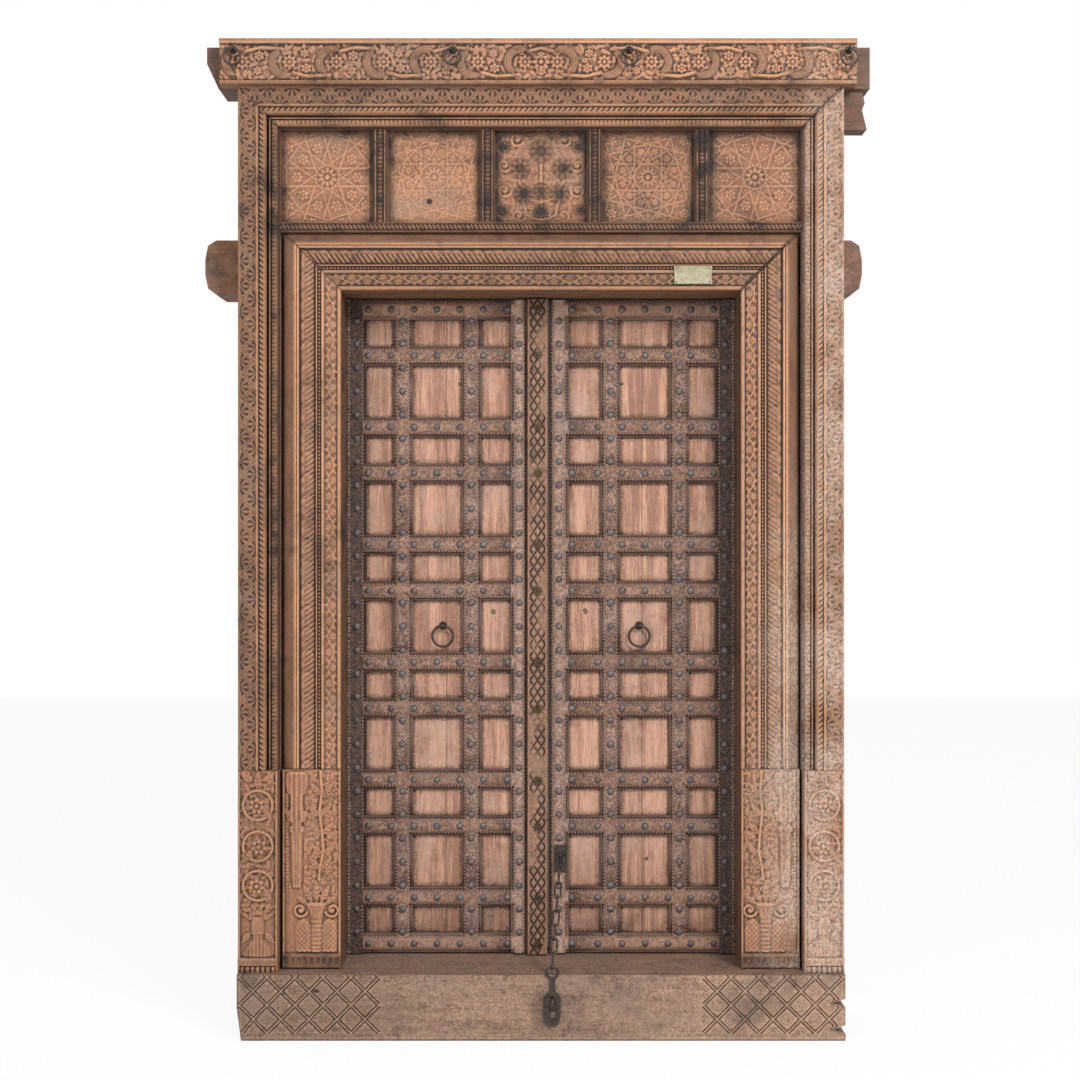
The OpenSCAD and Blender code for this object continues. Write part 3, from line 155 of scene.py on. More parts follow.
LEAVES = ("left", "right")
leaf_foot, leaf_top = (corner[2] for corner in box_mm("left_outer_plank"))
rail_span = leaf_top - leaf_foot - BATTEN_W
short_row = rail_span * SHORT_SHARE
tall_row = (rail_span - SHORT_ROWS * short_row) / TALL_ROWS
first_rail = leaf_foot + BATTEN_W / 2
rail_z = [first_rail + (i + 1) // 2 * short_row + i // 2 * tall_row for i in range(RAILS)]
seam_x = [box_mm("left_outer_plank")[1][0], box_mm("right_outer_plank")[0][0]]
opening = box_mm("inner_post_right")[0][0]
upright_x = {}
for leaf_side, out in zip(LEAVES, (-1, 1)):
    stile_low, stile_high = box_mm(f"{leaf_side}_hanging_stile")
    hanging_in = min(abs(stile_low[0]), abs(stile_high[0]))
    parts = [f"{leaf_side}_{part}" for part in ("outer_muntin", "inner_muntin", "meeting_stile")]
    upright_x[leaf_side] = [out * (hanging_in + opening) / 2] + [middle_x(part) for part in parts]
print("rails at", [round(z) for z in rail_z], "mm")

# %% [markdown]
# ## Old timber
# Hardwood that was oiled for a long time goes dark, hands and weather rub the ridges back to tan,
# and soot and oil stay in the hollows. The attribute `carve` says how proud or sunk a point is, the
# attribute for stains how dark it is from real stains and from painted shade, and the object
# coordinates lay the grain along the timber.


# %% Timber material
FIBRE, BROAD, BLOTCH, SPECK, SOOT, WEAR, SMUT = 330.0, 46.0, 5.5, 150.0, 2.6, 17.0, 24.0
GRAIN_STRETCH = 0.045
DOT_PITCH = 9.0
# Places on the door in metres, each as where a change begins and where it ends.
BATTEN_FRONT, BATTEN_SLOPE, PLANK_FRONT = (-0.0372, -0.0355), (-0.036, -0.021), (-0.0148, -0.0135)
RIM, SEAM, LEAF_FOOT = (0.0, 0.012), (0.0006, 0.0022), (0.2, 0.5)
WASHED_EDGE, WASHED_SIDE, WASH_TOP = (0.655, 0.67), (0.5, 0.66), (0.9, 1.6)
LIME = rgba(205, 186, 172)


def nearest(value, places):
    """Distance of a coordinate from the nearest of some places, in metres."""
    gap = None
    for place in places:
        off = value.math("ABSOLUTE", value - place * MM)
        gap = off if gap is None else gap.math("MINIMUM", gap, off)
    return gap


def old_wood(
    name, tones, along, grain_depth=0.25, lime=0.0, grime_and_shade=0.5, pits=0.5, figure=1.0, grid=False, dots=False
):
    """Old wood in five tones with its grain along one axis.

    The grid adds painted shade and dirt along the battens to a plank, and dots the chip carving to a
    batten, with painted shade on its slopes.
    """
    ridge, body, hollow, grain, faded = tones
    material, tree, shader = new_material(name)
    place = node(tree, "ShaderNodeTexCoord", {}, {}, 3)
    px, py, pz = (node(tree, "ShaderNodeSeparateXYZ", {}, {"Vector": place}, i) for i in range(3))
    stretch = [1.0, 1.0, 1.0]
    stretch["XYZ".index(along)] = GRAIN_STRETCH
    fibre_at = node(tree, "ShaderNodeMapping", {}, {"Vector": place, "Scale": stretch})

    def noise(at, scale, detail):
        sockets = {"Vector": at, "Scale": scale, "Detail": detail, "Roughness": 0.66}
        return node(tree, "ShaderNodeTexNoise", {}, sockets)

    fibre, broad = noise(fibre_at, FIBRE, 6.0), noise(fibre_at, BROAD, 5.0)
    blotch, speck = noise(place, BLOTCH, 6.0), noise(place, SPECK, 3.0)
    carve = node(tree, "ShaderNodeAttribute", {"attribute_name": "carve"}, {}, 2)
    stain = node(tree, "ShaderNodeAttribute", {"attribute_name": "stain"}, {}, 2)
    carve = carve + (speck - 0.5) * pits
    height = fibre * grain_depth + broad * 0.2 + speck * (0.15 + 0.3 * pits)
    soot, wear = noise(place, SOOT, 7.0), noise(place, WEAR, 5.0)
    if dots:
        across, length = (pz, px) if along == "X" else (px, pz)
        wave = 2 * math.pi / (DOT_PITCH * MM)
        notch = length.math("COSINE", length * wave + (wear - 0.5) * 3)
        dot = across.math("COSINE", across * wave + (blotch - 0.5) * 4) * notch
        # The slopes are darker towards the plank: painted shade in the crease.
        face, slope = 1.0 - py.step(*BATTEN_FRONT), py.step(*BATTEN_SLOPE)
        cut = dot * face * (0.25 + wear.step(0.35, 0.65))
        carve = carve + cut * 0.45 - slope * 0.3 + (speck - 0.5) * face * 2.6 - 0.05
        height = height + cut * 0.8
    if grid:
        ragged = (wear - 0.5) * 0.024 + (speck - 0.5) * 0.022
        gaps = nearest(pz, rail_z), nearest(px, sum(upright_x.values(), []))
        # Painted shade and dirt where the plank meets the battens, with a ragged edge.
        rims = [1.0 - (gap - BATTEN_W / 2 * MM + ragged).step(*RIM) for gap in gaps]
        rim = (rims[0] + rims[1]) * (1.0 - py.step(*PLANK_FRONT))
        seam = 1.0 - nearest(px, seam_x).step(*SEAM)
        foot = (1.0 - pz.step(*LEAF_FOOT)) * blotch.step(0.35, 0.6)
        stain = stain + rim * 0.6 + seam * 0.6 + foot * 0.6
    proud = (carve * 0.95 + (blotch - 0.5) * 0.9 + (speck - 0.5) * 0.8 + (wear - 0.5) * 0.7).clamp()
    crack = fibre.step(0.56, 0.74) * wear.step(0.4, 0.65)
    sunk = (carve * -1.7 + (wear - 0.5) * 0.8 + (speck - 0.5) * 0.9 + crack * 0.4).clamp()
    streak = broad.step(0.38, 0.68) * 0.55 + fibre.step(0.42, 0.7) * 0.5
    wood = mix(body, grain, (streak * figure).clamp())
    wood = mix(wood, ridge, proud)
    wood = mix(wood, faded, (blotch.step(0.48, 0.7) * 0.6).clamp())
    wood = mix(wood, hollow, (sunk * 0.92).clamp())
    smut = noise(place, SMUT, 4.0)
    sooty = (soot.step(0.5, 0.72) * wear.step(0.36, 0.62) + smut.step(0.55, 0.7) * 0.55) * grime_and_shade
    wood = mix(wood, hollow, (stain * (0.35 + wear) + sooty).clamp())
    if lime > 0:
        outer = px.step(*WASHED_EDGE) * 0.7
        washed = outer.math("MAXIMUM", outer, px.step(*WASHED_SIDE) * (1.0 - pz.step(*WASH_TOP)))
        dusty = (washed * blotch.step(0.3, 0.62) * (0.35 + speck.step(0.4, 0.65)) * lime).clamp()
        wood = mix(wood, LIME, dusty * 0.6)
    normal = node(tree, "ShaderNodeBump", {}, {"Strength": 0.5, "Distance": 0.0012, "Height": height})
    tree.links.new(wood.out, shader.inputs["Base Color"])
    tree.links.new(normal.out, shader.inputs["Normal"])
    tree.links.new((0.72 + (fibre - 0.5) * 0.25).out, shader.inputs["Roughness"])
    shader.inputs["Specular IOR Level"].default_value = 0.3
    return material


print("grain runs", round(1 / GRAIN_STRETCH), "times as long as it is wide")

# %% [markdown]
# ## Tones of the timbers
# The frame is oiled and warm and the planks are bleached. The hanging stiles and the beam stand in the
# shade and have gone dark. One function makes all of them, so a timber differs by its five tones and by
# how rough, grimy or figured it is.


# %% Tones of the timbers
def tone_set(*colours):
    """Ridge, body, hollow, grain and the grey of faded wood."""
    return [rgba(*colour) for colour in colours]


FRAME_TONES = tone_set((196, 145, 110), (154, 110, 84), (50, 40, 36), (112, 79, 60), (136, 110, 95))
SILL_TONES = tone_set((184, 152, 128), (150, 122, 104), (58, 46, 40), (108, 86, 72), (138, 118, 106))
PLANK_TONES = tone_set((224, 172, 136), (198, 155, 132), (74, 54, 45), (144, 105, 88), (172, 144, 134))
BATTEN_TONES = tone_set((202, 166, 146), (154, 125, 111), (60, 42, 34), (112, 88, 77), (140, 120, 112))
RAIL_TONES = tone_set((174, 137, 116), (128, 99, 85), (60, 42, 34), (94, 71, 60), (120, 104, 97))
DARK_TONES = tone_set((124, 100, 88), (94, 75, 66), (36, 29, 26), (72, 56, 49), (92, 78, 72))
BEAM_TONES = tone_set((146, 116, 99), (112, 87, 74), (42, 33, 29), (84, 64, 55), (106, 89, 81))
PALE_TONES = tone_set((184, 152, 134), (142, 115, 102), (54, 42, 37), (110, 86, 75), (134, 115, 106))
STRIP_TONES = tone_set((190, 146, 118), (146, 110, 92), (48, 38, 32), (104, 78, 64), (124, 106, 96))
frame_up = old_wood("frame_wood_upright", FRAME_TONES, "Z", lime=1.0)
frame_across = old_wood("frame_wood_level", FRAME_TONES, "X", lime=0.3)
sill_wood = old_wood("sill_wood", SILL_TONES, "X", grain_depth=0.7, pits=2.2)
plank_wood = old_wood("plank_wood", PLANK_TONES, "Z", grain_depth=0.6, grime_and_shade=0.4, figure=1.7, grid=True)
batten_up = old_wood("batten_wood_upright", BATTEN_TONES, "Z", grain_depth=0.4, dots=True)
batten_across = old_wood("batten_wood_level", RAIL_TONES, "X", grain_depth=0.4, dots=True)
stile_dark = old_wood("stile_wood_dark", DARK_TONES, "Z", grain_depth=0.4, dots=True)
stile_pale_and_painted_light = old_wood("stile_wood_pale_and_painted_light", PALE_TONES, "Z", grain_depth=0.4, dots=True)
strip_wood = old_wood("strip_wood", STRIP_TONES, "Z", grain_depth=0.5, grime_and_shade=0.8)
beam_dark = old_wood("beam_wood_dark", BEAM_TONES, "X", grain_depth=0.8)
print("timber materials:", frame_up.name, plank_wood.name, batten_up.name)

# %% [markdown]
# ## Iron and brass
# Forged iron has a dark oxide skin with rust in its pores. The small stars are a dull copper alloy.


# %% Metal material
RUST_PATCH, RUST_PORE = 70.0, 420.0


def metal(name, body, pore, rough, shine):
    """A weathered metal with pores."""
    material, tree, shader = new_material(name)
    place = node(tree, "ShaderNodeTexCoord", {}, {}, 3)
    coarse = {"Vector": place, "Scale": RUST_PATCH, "Detail": 5.0, "Roughness": 0.65}
    patch = node(tree, "ShaderNodeTexNoise", {}, coarse)
    fine = node(tree, "ShaderNodeTexNoise", {}, {"Vector": place, "Scale": RUST_PORE, "Detail": 3.0})
    tone = mix(body, pore, (patch.step(0.42, 0.66) * 0.7 + fine.step(0.5, 0.7) * 0.3).clamp())
    pocked = {"Strength": 0.4, "Distance": 0.0008, "Height": patch + fine * 0.4}
    normal = node(tree, "ShaderNodeBump", {}, pocked)
    tree.links.new(tone.out, shader.inputs["Base Color"])
    tree.links.new(normal.out, shader.inputs["Normal"])
    tree.links.new((rough + (patch - 0.5) * 0.3).out, shader.inputs["Roughness"])
    shader.inputs["Metallic"].default_value = shine
    return material


boss_iron = metal("boss_iron", rgba(108, 101, 100), rgba(66, 58, 56), 0.55, 0.35)
forged_iron = metal("forged_iron", rgba(70, 58, 53), rgba(36, 29, 26), 0.42, 0.55)
star_brass = metal("star_brass", rgba(84, 66, 44), rgba(36, 29, 24), 0.45, 0.5)
plate_brass = metal("plate_brass", rgba(150, 144, 116), rgba(122, 116, 90), 0.5, 0.3)
print("metals:", boss_iron.name, forged_iron.name, star_brass.name)

# %% [markdown]
# ## Carving as a height
# A carver draws the pattern on the face, sinks the ground and leaves the pattern standing.
# Here one number for each point of the face does that: 0 is the face, and less is cut away.
# A displaced plane would do it too, but a mesh made from the numbers keeps its walls and its back.


# %% Carving tools
def bump(d, half):
    """A rounded ridge, 1 on its line and 0 from a half width away."""
    return np.clip(1 - (d / half) ** 2, 0, 1)


def smooth(x, low, high):
    """0 at low, 1 at high, with a soft start and end."""
    t = np.clip((x - low) / (high - low), 0, 1)
    return t * t * (3 - 2 * t)


def saw(x):
    """A place within its period, from -0.5 to 0.5."""
    return (x + 0.5) % 1 - 0.5


def bloom(x, z, r, petals, turn=0.0):
    """A flower of radius r about the origin, from 0 to 1."""
    rho = np.hypot(x, z)
    lobe = np.abs(np.cos(petals / 2 * (np.arctan2(x, z) + turn)))
    petal = np.clip(1 - (rho / (r * (0.7 + 0.3 * lobe))) ** 4, 0, 1) * (0.45 + 0.55 * lobe)
    eye = bump(rho, 0.26 * r)
    return np.maximum(petal * (1 - 0.8 * bump(rho - 0.34 * r, 0.14 * r)), eye)


def stroke(x, z, points, half):
    """A rounded line through the points."""
    d = np.full(x.shape, np.inf)
    for (x0, z0), (x1, z1) in zip(points[:-1], points[1:]):
        dx, dz = x1 - x0, z1 - z0
        t = np.clip(((x - x0) * dx + (z - z0) * dz) / (dx * dx + dz * dz), 0, 1)
        d = np.minimum(d, np.hypot(x - x0 - t * dx, z - z0 - t * dz))
    return bump(d, half)


def scroll(x, z, centre, r, start, sweep, half, inward=0.78):
    """A line that winds from radius r into a knob at the centre."""
    t = np.linspace(0, 1, 30)
    a = np.radians(start + sweep * t)
    wind = r * (1 - inward * t)
    line = np.stack([centre[0] + wind * np.cos(a), centre[1] + wind * np.sin(a)], -1)
    return np.maximum(stroke(x, z, line, half), bump(np.hypot(x - centre[0], z - centre[1]), 0.32 * r))


def leaf(x, z, root, tip, half, lobes=5):
    """A lobed leaf with a sunk midrib."""
    dx, dz = tip[0] - root[0], tip[1] - root[1]
    length = math.hypot(dx, dz)
    t = ((x - root[0]) * dx + (z - root[1]) * dz) / length**2
    side = np.abs((x - root[0]) * dz - (z - root[1]) * dx) / length
    outline = half * np.sin(np.pi * np.clip(t, 0, 1) ** 0.8)
    edge = outline * (0.75 + 0.25 * np.abs(np.sin(lobes * np.pi * t)))
    body = np.clip(1 - (side / np.maximum(edge, 0.001)) ** 2, 0, 1) * ((t > 0) & (t < 1))
    veins = 0.7 + 0.3 * np.cos(2 * np.pi * (lobes * t - side / half))
    return body * veins * (1 - 0.5 * bump(side, 0.16 * half))


def turned(x, z, heights, halves):
    """A turned form about x = 0: half widths at given heights, rounded across."""
    half = np.interp(z, heights, halves, left=0, right=0)
    return np.sqrt(np.clip(1 - (x / np.maximum(half, 0.001)) ** 2, 0, 1)) * (half > 0)


print("carving tools ready")

# %% [markdown]
# ## Ground of small leaves
# A carver fills the ground that is left with small leaves at every lean. They are sown here on a loose
# grid with a fixed seed, so the same leaves come each time. Only the points near a leaf are worked.

# %% Foliage
LEAF_SHARE = 1 / 3.4


def foliage(x, z, pitch, long, seed):
    """Small leaves at every lean, sown over the field to fill its ground."""
    sown = np.random.default_rng(seed)
    h = np.zeros(x.shape)
    for cx in np.arange(x.min(), x.max(), pitch):
        for cz in np.arange(z.min(), z.max(), pitch):
            a = sown.uniform(0, 2 * math.pi)
            px, pz = cx + sown.uniform(0, pitch), cz + sown.uniform(0, pitch)
            near = (np.abs(x - px) < long) & (np.abs(z - pz) < long)
            if near.any():
                dx, dz = long / 2 * math.cos(a), long / 2 * math.sin(a)
                root, tip = (px - dx, pz - dz), (px + dx, pz + dz)
                made = leaf(x[near], z[near], root, tip, long * LEAF_SHARE, 2)
                h[near] = np.maximum(h[near], made)
    return h


print("a small leaf is", round(1 / LEAF_SHARE, 1), "half widths long")

# %% [markdown]
# ## From heights to a closed timber
# The front is a grid. Walls go back from its rim to the plane behind, and one face closes the back.
# A point that stands above the average round it is marked as rubbed, and one below it as grimy.

# %% Points of a face
STEP = 0.5


def ticks(breaks, pitch):
    """Places between the breaks of a section, with a close pair at each so that steps stay steep."""
    parts = [breaks[:1]]
    for low, high in zip(breaks[:-1], breaks[1:]):
        parts.append(np.linspace(low + STEP, high - STEP, max(2, round((high - low) / pitch) + 1)))
    return np.concatenate(parts + [breaks[-1:]])


def evenly(low, high, pitch):
    """Places from low to high, about one pitch apart."""
    return np.linspace(low, high, round((high - low) / pitch) + 1)


def blur(h, cells):
    """A running average over a few cells each way."""
    for axis in (0, 1):
        pad = [(cells + 1, cells) if a == axis else (0, 0) for a in (0, 1)]
        total = np.pad(h, pad, mode="edge").cumsum(axis)
        width = 2 * cells + 1
        count = h.shape[axis]
        start = np.arange(count)
        h = (np.take(total, start + width, axis) - np.take(total, start, axis)) / width
    return h


print("a step in a section is", 2 * STEP, "mm wide")

# %% Timber builder
BLUR_CELLS = 3
TONE_MM = 1.9
MEAN_TONE = 0.08
DEEPEST, DEEP_MM = -0.35, 16.0
RIM_TONE, RIM_STAIN = 0.0, 0.2


def put(name, data):
    """An object in the scene for a mesh, a lamp or a camera."""
    made = bpy.data.objects.new(name, data)
    bpy.context.collection.objects.link(made)
    return made


def part_of_door(made, body, nodes):
    """The object moves with a body, and stands for nodes of the frame if any are named."""
    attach(made, body)
    if nodes:
        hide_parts(*nodes)


class Timber:
    """The faces of one timber, in millimetres."""

    def __init__(self):
        self.points, self.faces, self.carve, self.stain, self.smooth = [], [], [], [], []
        self.count = 0

    def add(self, points, faces, carve, stain, rounded):
        self.points.append(points)
        self.faces += [[i + self.count for i in face] for face in faces]
        self.carve.append(carve)
        self.stain.append(stain)
        self.smooth += rounded
        self.count += len(points)

    def carved(self, x, z, h, face, back, stain=0.0, pale=0.0, tone_mm=TONE_MM, wall=RIM_STAIN):
        """A carved face: x grows along columns, z along rows, and h is the height on the plane y = face."""
        rows, columns = h.shape
        front = np.stack([x, face - h, z], -1).reshape(-1, 3)
        grid = np.arange(rows * columns).reshape(rows, columns)
        quads = np.stack([grid[:-1, :-1], grid[:-1, 1:], grid[1:, 1:], grid[1:, :-1]], -1).reshape(-1, 4)
        rim = np.concatenate([grid[0], grid[1:, -1], grid[-1, -2::-1], grid[-2:0:-1, 0]])
        behind = front[rim].copy()
        behind[:, 1] = back
        first = rows * columns
        low = first + np.arange(len(rim))
        walls = np.stack([rim, low, np.roll(low, -1), np.roll(rim, -1)], -1)
        deep = np.maximum(np.minimum(h, 0) / DEEP_MM, DEEPEST)
        tone = np.clip((h - blur(h, BLUR_CELLS)) / tone_mm + MEAN_TONE + deep + pale, -1, 1)
        dark = np.broadcast_to(np.asarray(stain, float), h.shape).copy()
        tone.ravel()[rim], dark.ravel()[rim] = RIM_TONE, wall
        self.add(
            np.concatenate([front, behind]),
            quads.tolist() + walls.tolist() + [low[::-1].tolist()],
            np.concatenate([tone.ravel(), np.full(len(rim), RIM_TONE)]),
            np.concatenate([dark.ravel(), np.full(len(rim), wall)]),
            [True] * len(quads) + [False] * (len(walls) + 1),
        )

    def block(self, low, high, carve=-0.1, stain=0.15):
        """A plain box."""
        (x0, y0, z0), (x1, y1, z1) = low, high
        points = np.array([(x, y, z) for z in (z0, z1) for y in (y0, y1) for x in (x0, x1)], float)
        faces = [[0, 2, 3, 1], [4, 5, 7, 6], [0, 1, 5, 4], [2, 6, 7, 3], [0, 4, 6, 2], [1, 3, 7, 5]]
        self.add(points, faces, np.full(8, carve), np.full(8, stain), [False] * 6)

    def prism(self, outline, front, back, carve=-0.1, stain=0.15):
        """A drawing in x and z, anticlockwise, between two planes of y."""
        n = len(outline)
        points = np.array([(x, y, z) for y in (front, back) for x, z in outline], float)
        sides = [[i, i + n, (i + 1) % n + n, (i + 1) % n] for i in range(n)]
        faces = [list(range(n)), list(range(2 * n - 1, n - 1, -1))] + sides
        self.add(points, faces, np.full(2 * n, carve), np.full(2 * n, stain), [False] * (n + 2))

    def piece(self, name, material, body, slot, *nodes):
        """Makes the object, which stands for the named nodes and moves with the body."""
        mesh = bpy.data.meshes.new(name)
        mesh.from_pydata((np.concatenate(self.points) * MM).tolist(), [], self.faces)
        for key, values in (("carve", self.carve), ("stain", self.stain)):
            mesh.attributes.new(key, "FLOAT", "POINT").data.foreach_set("value", np.concatenate(values))
        mesh.polygons.foreach_set("use_smooth", self.smooth)
        mesh.materials.append(material)
        mesh.update()
        part_of_door(put(name, mesh), body, nodes)
        triangles = sum(len(p.vertices) - 2 for p in mesh.polygons)
        print(f"{name}: {triangles} triangles")


print("timber builder ready")

# %% [markdown]
# ## Outer frame
# Each upright and the lintel carry the same run: a zigzag of double lines with a fan of leaf strokes
# in every triangle, a twisted rope, a dark groove and a row of beads. The section is measured from
# the outer edge, so one function carves all three, and the ends meet on a mitre.

# %% Outer moulding
ZIGZAG_PITCH = 63.0
ROPE_PITCH = 13.8
BEAD_PITCH = 10.6
OUTER_BREAKS = np.array([0, 5, 45, 50, 69, 76, 78.5, 81, 96, 100], float)
OUTER_W = OUTER_BREAKS[-1]
GROOVE_D = 36.0
FRONT_T = 42.0


def outer_carving(u, s):
    """Height of the outer moulding at a distance u from its outer edge and s along it."""
    turn = s / ZIGZAG_PITCH % 1
    line = 9 + 32 * np.abs(2 * turn - 1)
    off = (u - line) * 0.7
    inner = np.arctan2(saw(turn) * ZIGZAG_PITCH, u - 2)
    outer = np.arctan2(saw(turn + 0.5) * ZIGZAG_PITCH, 48 - u)
    fan = np.cos(4.5 * np.where(off < 0, inner, outer)) ** 2
    ground = smooth(np.abs(off), 4.6, 6.0)
    zigzag = -2.6 * ground + 2.2 * ground * fan - 1.5 * bump(off, 1.5)
    across = (u - 59.5) / 9.5
    barrel = np.sqrt(np.clip(1 - across**2, 0, 1))
    strand = np.abs(np.cos(np.pi * (s / ROPE_PITCH + 0.5 * across))) ** 0.7
    rope = -9.5 + 9.2 * barrel * (0.3 + 0.7 * strand)
    bead = np.sqrt(np.clip(1 - ((u - 88.5) / 7.5) ** 2, 0, 1))
    reel = np.abs(np.sin(np.pi * s / BEAD_PITCH)) ** 0.5
    beads = -22 + 9 * bead * (0.05 + 0.95 * reel)
    pick = [u < edge for edge in OUTER_BREAKS[1:-1]]
    deep = np.full(u.shape, -GROOVE_D)
    return np.select(pick, [0 * u, zigzag, 0 * u, rope, deep, 0 * u - 13, 0 * u - 27, beads], deep)


outer_low, outer_high = box_mm("outer_lintel")
OUTER_FACE = outer_low[1]
OUTER_BACK = outer_high[1]
Z_OUTER, Z_HEAD = outer_low[2], outer_high[2]
OUTER_HALF = box_mm("outer_post_right")[1][0]
OUTER_MITRE = OUTER_FACE + FRONT_T
print("outer frame face at", OUTER_FACE, "mm")

# %% [markdown]
# ## Bases of the outer posts
# A vine climbs from a vase and winds round three flowers. A scroll is a spiral line, and a leaf is
# a lobed outline with a sunk midrib, so the whole base is drawn from a few tools.

# %% Outer base
BASE_H = 506.0
BASE_STEP = 2.5
BASE_RELIEF = 7.0
BASE_TONE_MM = 3.4


def outer_base(x, z):
    """Relief of the outer base: x from its middle, z from its foot."""
    h = bump(np.abs(x) - 47, 3.5)
    for i, centre in enumerate((218, 317, 420)):
        hand = 1 if i % 2 == 0 else -1
        dx, dz = x * hand, z - centre
        ring = bump(np.hypot(dx, dz) - 37, 4.2) * (1 - bump(np.hypot(dx + 30, dz + 26), 14))
        h = np.maximum.reduce([h, ring, 0.95 * bloom(dx - 3, dz + 2, 23, 7)])
        h = np.maximum(h, leaf(dx, dz, (-33, -38), (-12, -4), 11))
        for a in (35, 100, 165, 230):
            way = np.array([math.sin(math.radians(a)), math.cos(math.radians(a))])
            h = np.maximum(h, 0.8 * leaf(dx, dz, 24 * way, 35 * way, 6, 2))
    for a in (-68, -40, -14, 14, 40, 68):
        tip = (46 * math.sin(math.radians(a)), 132 + 46 * math.cos(math.radians(a)))
        h = np.maximum(h, leaf(x, z, (0, 128), tip, 8, 3))
    vase = turned(x, z, [38, 46, 60, 84, 96, 98, 134, 136, 140], [34, 38, 30, 12, 15, 17, 17, 20, 14])
    flutes = 0.75 + 0.25 * np.cos(2 * np.pi * x / 9)
    h = np.maximum(h, vase * np.where(z < 96, flutes, 1))
    for side in (-1, 1):
        h = np.maximum(h, leaf(x * side, z, (20, 100), (42, 72), 10))
        h = np.maximum(h, leaf(x * side, z, (14, 480), (44, 502), 11))
    h = np.maximum(h, leaf(x, z, (0, 462), (0, 506), 13))
    fill = foliage(x, z, 15, 20, 11) * (z > 150) * (np.abs(x) < 44)
    h = np.maximum(h, 0.62 * fill)
    dentil = (np.abs(saw(x / 13)) < 0.32) * (z < 14)
    plinth = (z < 36) & (z > 16)
    return BASE_RELIEF * np.clip(np.maximum(h, np.maximum(0.9 * plinth, dentil)), 0, 1)


print("outer base relief", BASE_RELIEF, "mm")

# %% [markdown]
# ## Outer posts and lintel
# The two posts and the lintel have a carved front half with mitred ends. Behind it each has a plain
# half, which the joiner laps over its neighbour, so the mitre in front carries no load.

# %% Outer posts
ALONG, ACROSS = 2.95, 2.4


def mitre(away, side):
    """Dark line where two timbers meet on a slant, wider on the right where the joint has opened."""
    return (1.3 if side > 0 else 0.6) * bump(np.minimum(away, 20), 7 if side > 0 else 5)


def outer_post(side, name):
    """A post on the left for side -1 and on the right for side 1."""
    sill_top = box_mm("sill")[1][2]
    base_top = sill_top + BASE_H
    u = ticks(OUTER_BREAKS, ACROSS)
    u = u if side < 0 else u[::-1]
    x_row = side * (OUTER_HALF - u)
    t = np.linspace(0, 1, round((Z_HEAD - base_top) / ALONG))[:, None]
    z = base_top + t * (Z_HEAD - u - base_top)
    x, uu = np.broadcast_to(x_row, z.shape), np.broadcast_to(u, z.shape)
    timber = Timber()
    # Painted shade makes the left post darker than the right one.
    grime_and_shade = 0.2 + 0.2 * smooth(uu, 45, 80) + 0.15 * smooth(uu, 80, 84) + (0.2 if side < 0 else 0.0)
    grime_and_shade = grime_and_shade + mitre(Z_HEAD - uu - z, side)
    timber.carved(x, z, outer_carving(uu, z), OUTER_FACE, OUTER_MITRE, grime_and_shade)
    x_base = np.sort(side * (OUTER_HALF - ticks(np.array([0, 6, 94, 100.0]), ACROSS)))
    xb, zb = np.meshgrid(x_base, evenly(sill_top, base_top, BASE_STEP))
    middle = side * (OUTER_HALF - OUTER_W / 2)
    h = outer_base((xb - middle) * side, zb - sill_top)
    # Painted shade makes the left base darker too.
    grime_and_shade = 0.45 * (1 - smooth(zb, sill_top, sill_top + 18)) + (0.12 if side < 0 else 0.0)
    timber.carved(xb, zb, h, OUTER_FACE, OUTER_MITRE, grime_and_shade, 0.06, BASE_TONE_MM)
    edges = sorted((side * OUTER_HALF, side * (OUTER_HALF - OUTER_W)))
    timber.block((edges[0], OUTER_MITRE, sill_top), (edges[1], OUTER_BACK, Z_OUTER))
    timber.piece(name + "_carved", frame_up, "frame", "frame_wood", name)


outer_post(-1, "outer_post_left")
outer_post(1, "outer_post_right")

# %% Outer lintel
PHASE = 500.0
WORN = 14.0
u = ticks(OUTER_BREAKS, ACROSS)[::-1, None]
t = np.linspace(0, 1, round(2 * OUTER_HALF / ALONG))[None, :]
x = (2 * t - 1) * (OUTER_HALF - u)
lintel = Timber()
lintel.carved(
    x, Z_HEAD - u + 0 * x, outer_carving(u + 0 * x, x + PHASE), OUTER_FACE, OUTER_MITRE,
    0.4 + mitre(OUTER_HALF - u - x, 1) + mitre(OUTER_HALF - u + x, -1),
)
horn = outer_high[0]
lintel.prism(
    [(-OUTER_HALF, Z_OUTER), (horn - 2, Z_OUTER), (horn - WORN, Z_HEAD - 50), (horn - 7, Z_HEAD - 33),
     (horn - WORN, Z_HEAD), (-OUTER_HALF, Z_HEAD)],
    OUTER_MITRE, OUTER_BACK, -0.2, 0.6,
)
lintel.piece("outer_lintel_carved", frame_across, "frame", "frame_wood", "outer_lintel")

# %% [markdown]
# ## Inner frame
# From its outer edge the inner moulding has a pitted slope, two thin fillets, a band of overlapping
# acanthus leaves, a row of beads in a dark groove, and a floral vine beside the opening.

# %% Inner moulding
LEAF_PITCH = 56.0
RIDGE_PITCH = 13.0
SMALL_BEAD_PITCH = 9.5
VINE_PITCH = 79.0
INNER_BREAKS = np.array([0, 30, 34.5, 36, 41, 84, 87, 98, 101, 105, 139, 148], float)
INNER_W = INNER_BREAKS[-1]
INNER_FRONT_T = 49.0


